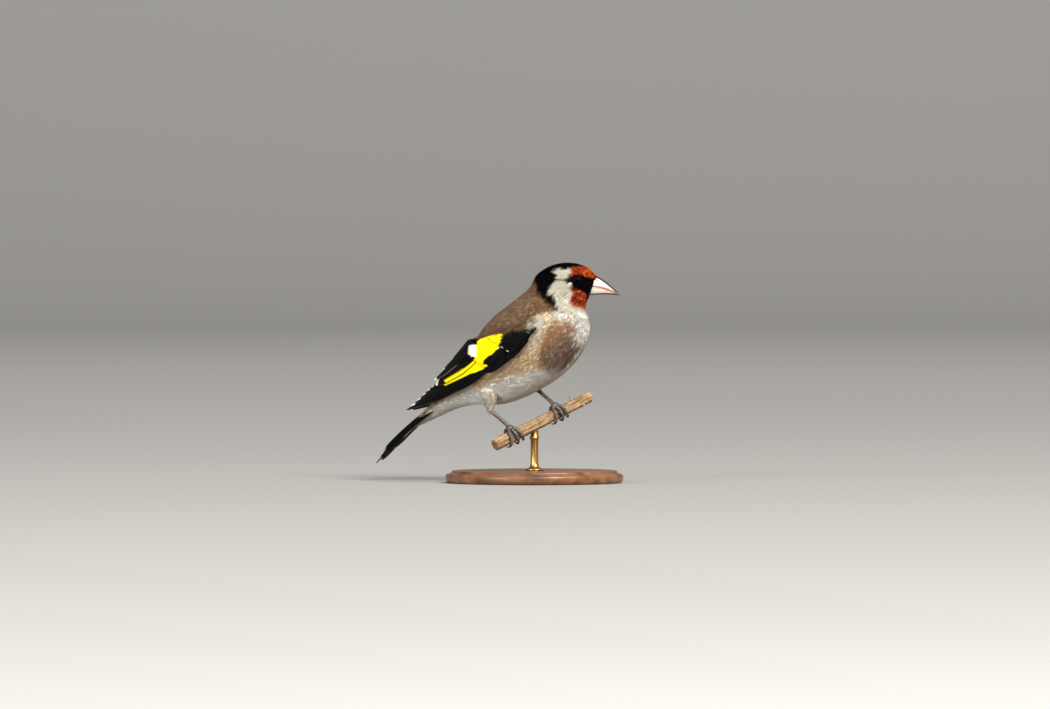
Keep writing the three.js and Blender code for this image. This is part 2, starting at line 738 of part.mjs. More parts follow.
// Materials, named for what they cover
const finish = (color, roughness) => new THREE.MeshStandardMaterial({ color, roughness, metalness: 0 });
const FINISH = {
  plumage: finish(0xb59a7c, 0.8),
  head: finish(0xe8e2d6, 0.8),
  flight: finish(0x141214, 0.6),
  bill: finish(0xe4cfc0, 0.4),
  eye: finish(0x0b0808, 0.05),
  leg: finish(0x8a6a5c, 0.55),
  claw: finish(0x3b2f2c, 0.4),
  stem: finish(0x8e7357, 0.85),
  wood: finish(0x6b4a30, 0.5),
  rod: new THREE.MeshStandardMaterial({ color: 0xb08d4a, roughness: 0.3, metalness: 1 }),
};

function geometryOf(solid) {
  const mesh = solid.getMesh();
  const geometry = new THREE.BufferGeometry();
  geometry.setAttribute("position", new THREE.BufferAttribute(new Float32Array(mesh.vertProperties), 3));
  geometry.setIndex(new THREE.BufferAttribute(new Uint32Array(mesh.triVerts), 1));
  geometry.computeVertexNormals();
  return geometry;
}

const goldfinch = new THREE.Group();

function add(name, form, material) {
  const mesh = new THREE.Mesh(form.isBufferGeometry ? form : geometryOf(form), material);
  mesh.name = name;
  goldfinch.add(mesh);
  return mesh;
}

const thighs = Object.values(LEGS).map((leg) => thigh({ ...leg, thigh: leg.thigh.map((r) => r + GAP) }));
const wings = Object.fromEntries(Object.entries(SIDES).map(([name, side]) => [name, wing(side)]));

add("head", head(), FINISH.head);
add("neck", bodyLength(NECK_START, TRUNK_START, 5), FINISH.plumage);
add("trunk", bodyLength(TRUNK_START, TAIL_START, 18), FINISH.plumage);
add("tail", tail(), FINISH.flight);
add("bill_upper", upperBill(), FINISH.bill);
add("bill_lower", billHalf(false), FINISH.bill);
for (const [name, side] of Object.entries(SIDES)) {
  const ball = add("eye_" + name, new THREE.SphereGeometry(EYE.radius, 14, 10), FINISH.eye);
  ball.position.copy(eyeMiddle(side));
  add("wing_" + name, wings[name], FINISH.flight);
}
for (const [name, leg] of Object.entries(LEGS)) {
  add("thigh_" + name, largest(thigh(leg).subtract(grownTrunk).subtract(wings[name])), FINISH.head);
  add("foot_" + name, foot(leg), FINISH.leg);
  for (const [toeName, toe] of Object.entries(TOES))
    add("claw_" + name + "_" + toeName, claw(leg, toe), FINISH.claw);
}
add("perch", perch(), FINISH.stem);
add("stand_base", standBase(), FINISH.wood).rotation.x = Math.PI / 2;
add("stand_rod", standRod(), FINISH.rod);

export default goldfinch;
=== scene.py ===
import itertools
import math

import bmesh
import bpy
import numpy as np
from mathutils import Matrix, Vector, kdtree


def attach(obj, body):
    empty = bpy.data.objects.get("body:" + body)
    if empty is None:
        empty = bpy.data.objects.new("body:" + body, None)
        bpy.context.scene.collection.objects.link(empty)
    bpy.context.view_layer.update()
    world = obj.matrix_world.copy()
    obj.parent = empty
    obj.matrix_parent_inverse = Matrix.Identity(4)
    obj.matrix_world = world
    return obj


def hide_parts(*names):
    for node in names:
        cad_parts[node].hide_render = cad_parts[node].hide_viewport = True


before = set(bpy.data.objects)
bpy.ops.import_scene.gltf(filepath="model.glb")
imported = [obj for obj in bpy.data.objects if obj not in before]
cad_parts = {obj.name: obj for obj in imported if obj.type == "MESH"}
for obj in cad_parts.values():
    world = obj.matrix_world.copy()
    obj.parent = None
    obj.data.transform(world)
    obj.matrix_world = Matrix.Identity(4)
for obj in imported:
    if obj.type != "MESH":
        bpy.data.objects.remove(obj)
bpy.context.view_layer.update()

MM = 0.001
UP = np.array([0, 0, 1.0])
rng = np.random.default_rng(11)

# Driving sizes
BODY_PITCH = math.radians(42)
BODY_MIDDLE = (-11.4, 47.9)  # x and z
HEAD_MIDDLE = (13.3, 80.6)
HEAD_TURN = math.radians(20)
NECK_PIVOT_X = 7.6
COAT_DEPTH = 0.9
EYE_PLACE = (4.4, 1.7)  # along and above the head's middle
EYE_RADIUS = 2.15
EYE_PROUD = 0.75
PERCH_MIDDLE = np.array([0, 0, 23.5])
PERCH_RISE = math.radians(23.3)
PERCH_HEADING = math.radians(49.8)
PERCH_RADIUS = 2.3
FOOT_SPACING = 22.8

# Cross-sections of the body, bill to tail: top and bottom as (along, above), and half width
HEAD_SECTIONS = [
    ((12.0, 3.4), (9.3, -5.2), 3.5),
    ((10.7, 5.1), (8.8, -6.3), 5.6),
    ((8.2, 6.9), (8.3, -7.4), 7.5),
    ((4.0, 8.3), (8.0, -8.5), 8.9),
    ((-1.4, 8.5), (7.9, -9.5), 9.4),
    ((-6.8, 7.1), (7.9, -10.5), 9.6),
    ((-11.5, 4.1), (8.0, -11.5), 9.9),
]
TRUNK_SECTIONS = [
    ((31.2, 17.6), (38.2, -5.8), 10.7),
    ((28.2, 16.5), (37.5, -8.8), 11.8),
    ((23.5, 16.6), (35.0, -12.6), 13.6),
    ((17, 17.2), (29.5, -16), 15.4),
    ((10.5, 17.9), (21, -18), 16.4),
    ((4, 17.6), (12, -18.1), 16.5),
    ((-2.5, 16.2), (3, -16.3), 15.6),
    ((-8.5, 14.4), (-6, -13.6), 13.9),
    ((-14, 12.8), (-14, -9.4), 11.6),
    ((-19.5, 11.6), (-20.5, -3.4), 9.2),
    ((-26, 10.6), (-28, 1.2), 7.0),
    ((-33, 10.1), (-36, 4.0), 5.3),
    ((-39, 9.9), (-43, 6.3), 4.0),
]
TURN_SHARES = [1] * 7 + [0.75, 0.5, 0.25, 0.05] + [0] * 9
FULLNESS = 2.15  # of a section: 2 is an oval, more is squarer
LAST = len(TURN_SHARES) - 1.0


def sagittal(middle, pitch, point):
    """x and z of a point given along and above a middle."""
    along, above = point
    x = middle[0] + along * math.cos(pitch) - above * math.sin(pitch)
    z = middle[1] + along * math.sin(pitch) + above * math.cos(pitch)
    return x, z


def section_rows():
    """Top x and z, bottom x and z, half width and share of the head's turn, one row a section."""
    parts = ((HEAD_MIDDLE, 0, HEAD_SECTIONS), (BODY_MIDDLE, BODY_PITCH, TRUNK_SECTIONS))
    rows = []
    for middle, pitch, sections in parts:
        for top, bottom, half in sections:
            rows.append((*sagittal(middle, pitch, top), *sagittal(middle, pitch, bottom), half))
    return np.column_stack([rows, TURN_SHARES])


SECTIONS = section_rows()


def smooth(values, t):
    """Catmull-Rom through equally spaced rows, running on straight past the last one."""
    values = np.asarray(values, float)
    t = np.maximum(np.asarray(t, float), 0)
    last = len(values) - 1
    i = np.minimum(t.astype(int), last - 1)
    f = np.minimum(t - i, 1.0)
    if values.ndim > 1:
        f = f[..., None]
    a, b = values[np.maximum(i - 1, 0)], values[i]
    c, d = values[i + 1], values[np.minimum(i + 2, last)]
    inside = b + 0.5 * f * (c - a + f * (2 * a - 5 * b + 4 * c - d + f * (3 * (b - c) + d - a)))
    past = np.maximum(t - last, 0)
    return inside + (past[..., None] if values.ndim > 1 else past) * (values[last] - values[last - 1])


def turned(points, share):
    """Points turned about the neck's upright axis by a share of the head's turn."""
    c, s = np.cos(HEAD_TURN * share), np.sin(HEAD_TURN * share)
    x, y, z = np.moveaxis(points, -1, 0)
    x = x - NECK_PIVOT_X
    return np.stack([NECK_PIVOT_X + x * c - y * s, x * s + y * c, z], axis=-1)


def roundness(angle):
    total = np.abs(np.cos(angle)) ** FULLNESS + np.abs(np.sin(angle)) ** FULLNESS
    return total ** (-1 / FULLNESS)


def body(t, angle, grow=0.0):
    """Points on the body at section t: angle 0 is the back, half a turn the belly, positive left."""
    t, angle, grow = np.broadcast_arrays(np.asarray(t, float), angle, grow)
    rows = smooth(SECTIONS, t)
    top_x, top_z, bottom_x, bottom_z, half, share = np.moveaxis(rows, -1, 0)
    up_x, up_z = top_x - bottom_x, top_z - bottom_z
    length = np.hypot(up_x, up_z)
    r = roundness(angle)
    rise = (0.5 * length + grow) * np.cos(angle) * r / length
    x = 0.5 * (top_x + bottom_x) + rise * up_x
    z = 0.5 * (top_z + bottom_z) + rise * up_z
    y = (np.maximum(half, 0.5) + grow) * np.sin(angle) * r
    return turned(np.stack([x, y, z], axis=-1), share)


def head_point(along, side, above):
    """A point given in the head's own directions."""
    x, z = sagittal(HEAD_MIDDLE, 0, (along, above))
    return turned(np.array([x, side, z], float), 1.0)


def in_head(points):
    """Points as (along, side, above) the head's middle."""
    x = points[..., 0] - NECK_PIVOT_X
    y = points[..., 1]
    back = NECK_PIVOT_X + x * math.cos(HEAD_TURN) + y * math.sin(HEAD_TURN)
    side = -x * math.sin(HEAD_TURN) + y * math.cos(HEAD_TURN)
    return back - HEAD_MIDDLE[0], side, points[..., 2] - HEAD_MIDDLE[1]


def in_body(points):
    """Points as (along, side, above) the trunk's middle."""
    x = points[..., 0] - BODY_MIDDLE[0]
    z = points[..., 2] - BODY_MIDDLE[1]
    c, s = math.cos(BODY_PITCH), math.sin(BODY_PITCH)
    return x * c + z * s, points[..., 1], -x * s + z * c


def unit(vectors):
    return vectors / np.maximum(np.linalg.norm(vectors, axis=-1, keepdims=True), 1e-9)


def ease(x):
    x = np.clip(x, 0, 1)
    return x * x * (3 - 2 * x)


def mix(a, b, share):
    return a + (b - a) * share


# Colours, as they look on screen
def paint(red, green, blue):
    """A screen colour as linear light."""
    return (np.array([red, green, blue]) / 255.0) ** 2.2


BLACK = paint(9, 8, 10)
CROWN_BLACK = paint(8, 7, 12)
RED = paint(168, 26, 12)
DARK_RED = paint(96, 12, 8)
FLAME = paint(244, 122, 48)
WHITE = paint(250, 247, 238)
CHEEK_WHITE = paint(228, 223, 203)
BROWN = paint(160, 129, 101)
NECK_BROWN = paint(148, 113, 84)
DARK_BROWN = paint(110, 78, 58)
TAWNY = paint(190, 136, 80)
TAWNY_IN_PAINTED_SHADE = paint(104, 66, 34)
BUFF = paint(226, 196, 152)
CREAM = paint(240, 221, 190)
YELLOW = paint(255, 226, 6)
GREY = paint(140, 134, 124)


# Meshes
def new_mesh(name, points, faces, colours=None, uvs=None):
    """A mesh object from points in millimetres and faces as one array of triangles or quads."""
    mesh = bpy.data.meshes.new(name)
    points = np.asarray(points, np.float32) * MM
    faces = np.asarray(faces, np.int32)
    corners = faces.shape[1]
    mesh.vertices.add(len(points))
    mesh.vertices.foreach_set("co", points.ravel())
    mesh.loops.add(faces.size)
    mesh.loops.foreach_set("vertex_index", faces.ravel())
    mesh.polygons.add(len(faces))
    mesh.polygons.foreach_set("loop_start", np.arange(0, faces.size, corners, dtype=np.int32))
    mesh.update(calc_edges=True)
    if colours is not None:
        layer = mesh.color_attributes.new("plumage", "FLOAT_COLOR", "POINT")
        rgba = np.column_stack([colours, np.ones(len(points))]).astype(np.float32)
        layer.data.foreach_set("color", rgba.ravel())
    for uv_name, places in (uvs or {}).items():
        layer = mesh.uv_layers.new(name=uv_name)
        layer.data.foreach_set("uv", np.asarray(places, np.float32)[faces.ravel()].ravel())
    mesh.polygons.foreach_set("use_smooth", np.ones(len(faces), bool))
    mesh.validate()
    obj = bpy.data.objects.new(name, mesh)
    bpy.context.scene.collection.objects.link(obj)
    return obj


def outwards(obj, merge=False):
    """Faces turned to point outwards, once points that coincide are merged where asked."""
    bm = bmesh.new()
    bm.from_mesh(obj.data)
    if merge:
        bmesh.ops.remove_doubles(bm, verts=bm.verts, dist=1e-7)
        bmesh.ops.dissolve_degenerate(bm, dist=1e-8, edges=bm.edges)
    bmesh.ops.recalc_face_normals(bm, faces=bm.faces)
    bm.to_mesh(obj.data)
    bm.free()
    return obj


def ring_faces(rings, sides):
    """Quads between rings of points that each close on themselves."""
    i, j = np.meshgrid(np.arange(rings - 1) * sides, np.arange(sides), indexing="ij")
    k = (j + 1) % sides
    return np.stack([i + j, i + k, i + sides + k, i + sides + j], axis=-1).reshape(-1, 4)


def loft(name, rings, colours=None):
    """A closed skin through rings, its ends drawn to their middles."""
    rings = np.asarray(rings, float)
    count, sides = rings.shape[:2]
    ends = np.repeat([rings[0].mean(0), rings[-1].mean(0)], sides, axis=0).reshape(2, sides, 3)
    full = np.concatenate([ends[:1], rings, ends[1:]])
    if colours is not None:
        colours = np.concatenate([colours[:1], colours, colours[-1:]]).reshape(-1, 3)
    return outwards(new_mesh(name, full.reshape(-1, 3), ring_faces(count + 2, sides), colours), merge=True)


def around(count):
    """Angles spread evenly round a full turn."""
    return np.linspace(0, 2 * np.pi, count, endpoint=False)


def hoop(centre, radius, first, second, count):
    """A ring of points round a centre, in the plane of two directions."""
    angles = around(count)
    return centre + radius * (np.outer(np.cos(angles), first) + np.outer(np.sin(angles), second))


def tube(path, radii, sides, up=(0, 0, 1)):
    """Rings along a path, their sides kept untwisted."""
    forward = unit(np.gradient(path, axis=0))
    side = np.cross(up, forward[0])
    rings = []
    for point, ahead, radius in zip(path, forward, radii):
        side = unit(side - ahead * side.dot(ahead))
        rings.append(hoop(point, radius, side, np.cross(ahead, side), sides))
    return rings


def joined(name, objects):
    """Several meshes as one object."""
    bm = bmesh.new()
    for obj in objects:
        bm.from_mesh(obj.data)
    mesh = bpy.data.meshes.new(name)
    bm.to_mesh(mesh)
    bm.free()
    for obj in objects:
        bpy.data.meshes.remove(obj.data)
    out = bpy.data.objects.new(name, mesh)
    bpy.context.scene.collection.objects.link(out)
    return out


def applied(obj):
    """An object with its modifiers made part of its mesh."""
    graph = bpy.context.evaluated_depsgraph_get()
    mesh = bpy.data.meshes.new_from_object(obj.evaluated_get(graph))
    obj.modifiers.clear()
    obj.data = mesh
    return obj


def rounded(obj):
    """Faces shaded as one smooth surface."""
    obj.data.polygons.foreach_set("use_smooth", np.ones(len(obj.data.polygons), bool))
    return obj


# Materials
def opaque(colour):
    """A plain colour with the fourth number that a socket takes; a joined one stays as it is."""
    return colour if isinstance(colour, bpy.types.NodeSocket) else (*colour, 1)


class Finish:
    """A material, its patterns measured in the piece's own millimetres."""

    def __init__(self, name, roughness, specular=0.5, **sockets):
        self.material = bpy.data.materials.new(name)
        self.material.use_nodes = True
        self.shader = self.material.node_tree.nodes["Principled BSDF"]
        self.fill(self.shader, Roughness=roughness, Specular_IOR_Level=specular, **sockets)

    def fill(self, node, **sockets):
        """Sets a node's sockets, or joins them to the output given."""
        for name, value in sockets.items():
            socket = node.inputs[name.replace("_", " ")]
            if isinstance(value, bpy.types.NodeSocket):
                self.material.node_tree.links.new(value, socket)
            else:
                socket.default_value = value

    def node(self, kind, output, settings=None, **sockets):
        """A new node's output."""
        node = self.material.node_tree.nodes.new("ShaderNode" + kind)
        for name, value in (settings or {}).items():
            setattr(node, name, value)
        self.fill(node, **sockets)
        return node.outputs[output]

    def noise(self, scale, detail, stretch=(1, 1, 1), turn=(0, 0, 0)):
        """An uneven pattern from 0 to 1."""
        place = self.node("TexCoord", "Object")
        place = self.node("Mapping", "Vector", Vector=place, Scale=[s / MM for s in stretch], Rotation=turn)
        return self.node("TexNoise", "Fac", Vector=place, Scale=scale, Detail=detail)

    def laid_out(self, name):
        """Places on one of the piece's own maps."""
        return self.node("UVMap", "UV", {"uv_map": name})

    def own_colour(self):
        return self.node("Attribute", "Color", {"attribute_name": "plumage"})

    def ranged(self, value, low, high, to_low, to_high):
        """A value moved from one range to another."""
        ends = {"From_Min": low, "From_Max": high, "To_Min": to_low, "To_Max": to_high}
        return self.node("MapRange", "Result", Value=value, **ends)

    def mixed(self, first, second, share, way="MIX"):
        """Two colours mixed by a share."""
        settings = {"data_type": "RGBA", "blend_type": way}
        return self.node("Mix", "Result", settings, Factor=share, A=opaque(first), B=opaque(second))

    def darkened(self, colour, shade, share):
        """A colour multiplied by a shade where the share says."""
        return self.mixed(colour, shade, share, "MULTIPLY")

    def coloured(self, colour):
        self.fill(self.shader, Base_Color=colour)

    def bumped(self, height, depth):
        """A bump, its depth in millimetres."""
        bump = self.node("Bump", "Normal", Height=height, Distance=depth * MM, Strength=1.0)
        self.fill(self.shader, Normal=bump)


def plumage_finish():
    finish = Finish("plumage", 0.9, 0.04, Sheen_Weight=0.01, Sheen_Roughness=0.5)
    mottle = finish.ranged(finish.noise(1.6, 4), 0.35, 0.7, 0.3, 0.0)
    finish.coloured(finish.darkened(finish.own_colour(), (0.62, 0.56, 0.5), mottle))
    return finish.material


def vane_finish():
    """Flight feathers: fine barbs slant from the shaft to both edges."""
    finish = Finish("vanes", 0.5, 0.07)
    wear = finish.ranged(finish.noise(0.7, 4), 0.3, 0.7, 0.35, 0.0)
    finish.coloured(finish.darkened(finish.own_colour(), (0.7, 0.66, 0.62), wear))
    bands = {"wave_type": "BANDS", "bands_direction": "X"}
    place = finish.laid_out("barbs")
    barbs = finish.node("TexWave", "Fac", bands, Vector=place, Scale=1.1, Distortion=1.2, Detail=2)
    finish.bumped(barbs, 0.04)
    return finish.material


def skin_finish():
    finish = Finish("down", 0.85, 0.15)
    finish.coloured(finish.own_colour())
    finish.bumped(finish.noise(3.0, 4), 0.15)
    return finish.material


def bill_finish():
    finish = Finish("bill_horn", 0.32, 0.5, Subsurface_Weight=0.08, Subsurface_Scale=0.6)
    finish.fill(finish.shader, Subsurface_Radius=(0.001, 0.0005, 0.0003))
    streak = finish.noise(1.2, 4, stretch=(0.25, 1, 1.4), turn=(0, 0.3, 0))
    dark = finish.ranged(streak, 0.45, 0.75, 0.0, 0.35)
    finish.coloured(finish.darkened(finish.own_colour(), (0.8, 0.66, 0.55), dark))
    finish.bumped(streak, 0.05)
    return finish.material


def eye_finish():
    finish = Finish("eye", 0.03, 0.05, IOR=1.36)
    finish.coloured(finish.own_colour())
    return finish.material


def grained_finish(name, roughness, specular, dark, light, scale, detail, depth):
    """Two colours that follow one fine grain, raised by it."""
    finish = Finish(name, roughness, specular)
    grain = finish.noise(scale, detail)
    finish.coloured(finish.mixed(dark, light, grain))
    finish.bumped(grain, depth)
    return finish.material


def leg_finish():
    finish = Finish("leg_scales", 0.42, 0.45)
    patches = finish.ranged(finish.noise(0.9, 3), 0.35, 0.65, 0, 1)
    finish.coloured(finish.mixed(paint(50, 42, 40), paint(104, 90, 84), patches))
    finish.bumped(finish.noise(5.0, 2), 0.05)
    return finish.material


def stem_finish():
    finish = Finish("dry_stem", 0.8, 0.2)
    fibres = finish.node("TexNoise", "Fac", Vector=finish.laid_out("fibres"), Scale=1.0, Detail=5)
    straw = finish.mixed(paint(92, 66, 44), paint(188, 158, 118), finish.ranged(fibres, 0.32, 0.68, 0, 1))
    blotch = finish.ranged(finish.noise(0.35, 3), 0.4, 0.62, 0.0, 0.75)
    finish.coloured(finish.darkened(straw, (0.5, 0.42, 0.36), blotch))
    finish.bumped(fibres, 0.25)
    return finish.material


def wood_finish():
    finish = Finish("turned_wood", 0.38, 0.45, Coat_Weight=0.15, Coat_Roughness=0.25)
    grain = finish.ranged(finish.noise(0.22, 6, stretch=(0.12, 1, 1)), 0.35, 0.65, 0, 1)
    pores = finish.noise(2.2, 2, stretch=(0.06, 1, 1))
    wood = finish.mixed(paint(70, 42, 26), paint(132, 88, 54), grain)
    dark = finish.ranged(pores, 0.5, 0.68, 0.0, 0.7)
    finish.coloured(finish.darkened(wood, (0.55, 0.45, 0.38), dark))
    finish.bumped(pores, 0.06)
    return finish.material


def brass_finish():
    finish = Finish("satin_brass", 0.3, 0.5, Metallic=1.0)
    brush = finish.noise(2.5, 3, stretch=(1, 1, 0.05))
    finish.coloured(finish.mixed(paint(168, 132, 72), paint(206, 172, 108), brush))
    finish.fill(finish.shader, Roughness=finish.ranged(brush, 0.3, 0.7, 0.24, 0.38))
    return finish.material


MATERIALS = {
    "plumage": plumage_finish(),
    "vanes": vane_finish(),
    "down": skin_finish(),
    "bill": bill_finish(),
    "eye": eye_finish(),
    "lid": grained_finish("eyelid", 0.8, 0.1, paint(6, 5, 6), paint(20, 18, 18), 3.0, 3, 0.1),
    "leg": leg_finish(),
    "claw": grained_finish("claw_horn", 0.3, 0.5, paint(34, 27, 25), paint(84, 68, 60), 2.0, 2, 0.03),
    "stem": stem_finish(),
    "wood": wood_finish(),
    "brass": brass_finish(),
    "floor": Finish("pale_floor", 0.9, 0.1, Base_Color=(0.31, 0.3, 0.283, 1)).material,
}


def place_piece(obj, finish, slot, *nodes):
    """Gives a piece its finish and hides the nodes that it stands for; its slot is not used."""
    obj.data.materials.clear()
    obj.data.materials.append(MATERIALS[finish])
    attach(obj, "root")
    if nodes:
        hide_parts(*nodes)


# Markings: outlines in the side view, as (along, above)
LORE = [
    (-0.6, 1.6), (0.6, 2.5), (2.0, 3.4), (4.0, 3.9), (6.3, 3.6), (8.5, 2.7), (11.2, 2.6), (13, 3.0),
    (14, 0.5), (13, -4), (10.5, -3.2), (9.4, -4.2), (8.6, -5.3), (7.6, -3.8), (6.3, -2.9), (4.5, -2.4),
    (2.4, -1.8), (1.9, -0.6), (0.7, 0.2),
]
UPPER_RED = [
    (1.7, 6.3), (3.6, 7.0), (5.6, 6.9), (7.2, 7.0), (8.2, 8.5), (14, 7), (13.6, 2.8), (10.4, 2.4), (8.5, 2.4),
    (6.5, 3.2), (2.2, 3.4), (0.6, 2.9), (1.0, 3.9), (2.0, 4.3),
]
LOWER_RED = [
    (0.9, -1.2), (2.6, -1.7), (6.3, -2.8), (8.3, -4.8), (10.5, -5.0), (11, -8), (8.8, -10.0), (6.8, -10.1),
    (4.2, -9.3), (2.2, -8.8), (1.3, -7.6), (1.6, -6.4), (2.2, -4.5), (2.2, -3.0), (1.5, -2.2),
]
WHITE_CHEEK = [
    (2.2, 6.3), (-0.5, 6.1), (-2.2, 5.8), (-3.1, 6.7), (-3.9, 6.4), (-4.6, 5.6), (-6.0, 4.8), (-4.3, 4.3),
    (-3.7, 3.4), (-4.9, 2.6), (-3.4, 2.0), (-4.6, 1.0), (-5.8, 0.5), (-6.2, -0.8), (-7.6, -2.4), (-8.0, -3.9),
    (-6.4, -4.1), (-5.2, -5.4), (-4.2, -6.8), (-4.4, -8.3), (-3.4, -9.8), (-3.2, -11.6), (4, -13), (10, -13),
    (3, -4), (2.5, 2),
]
BLACK_NAPE = [
    (8.2, 6.6), (8.4, 9.5), (-6, 9.8), (-15, 5), (-13.4, 1.0), (-12.3, -0.6), (-12.2, -3.0), (-10.6, -5.6),
    (-8.4, -7.6), (-6.2, -9.0), (-4.2, -10.5), (-3.0, -10.2), (-3.2, -8.8), (-2, 5), (1.6, 6.4), (4.5, 7.1),
    (6.6, 7.0),
]
BREAST_PATCH = [
    (29.1, -3.2), (33.4, -5.7), (35.5, -8.5), (31, -12.0), (28, -15.0), (28.2, -17.5), (23.5, -19.5),
    (17.5, -18.8), (13.9, -15.5), (13.5, -10.9), (18, -8.2), (22.6, -5.5),
]
COVERT_YELLOW = [
    (11.4, 6.6), (8.4, 4.6), (6.7, 3.3), (2.6, 3.6), (-1.1, 4.3), (-3.0, 3.3), (-5.5, 5.5), (-4.2, 7.2),
    (-3.7, 8.5), (-1.3, 11.2), (1.8, 13), (12, 11),
]
BAR_YELLOW = [
    (-0.6, 0.9), (-3, 3.3), (-1.1, 4.3), (-4, 7.4), (-9.1, 7.6), (-21.7, 11.0), (-22.8, 9.3), (-12, 5.2),
    (-5.3, 2.1),
]
PALE_SPOT = [(-4.3, 14.6), (-0.7, 11.6), (-1.6, 9.4), (-3.0, 7.6), (-4.9, 8.8), (-5.8, 11.8)]
# Height of the line between back and underparts, and of the flank's lower edge, by place along the body
SIDE_LINE = ([-45, -20, -10, 0, 10, 20, 27, 33, 36], [7, 6, 5, 3, 1, 1.5, 3.8, -0.9, -4])
FLANK_LINE = ([-24, -12, -5.5, 2, 9, 13.5, 16], [1.5, -2.8, -5.4, -8.6, -12.5, -15, -17])


def inside(outline, along, above):
    """Whether each point lies in an outline."""
    hit = np.zeros(np.shape(along), bool)
    points = np.array(outline, float)
    for (x0, y0), (x1, y1) in zip(points, np.roll(points, -1, axis=0)):
        crosses = (y0 > above) != (y1 > above)
        at = x0 + (above - y0) / (y1 - y0 if y1 != y0 else 1e-9) * (x1 - x0)
        hit ^= crosses & (along < at)
    return hit


def ripple(points, size, seed):
    """Smooth noise from -1 to 1 at points, its waves about a size across."""
    waves = np.random.default_rng(seed)
    total = np.zeros(points.shape[:-1])
    for _ in range(6):
        direction = unit(waves.normal(size=3)) * 2 * np.pi / (size * waves.uniform(0.7, 1.4))
        total += np.sin(points @ direction + waves.uniform(0, 2 * np.pi))
    return total / 3.0


def put(colours, where, colour, share=1.0):
    """Paints a colour over part of an array of colours."""
    share = np.broadcast_to(np.asarray(share, float) * where, colours.shape[:-1])[..., None]
    return colours * (1 - share) + colour * share


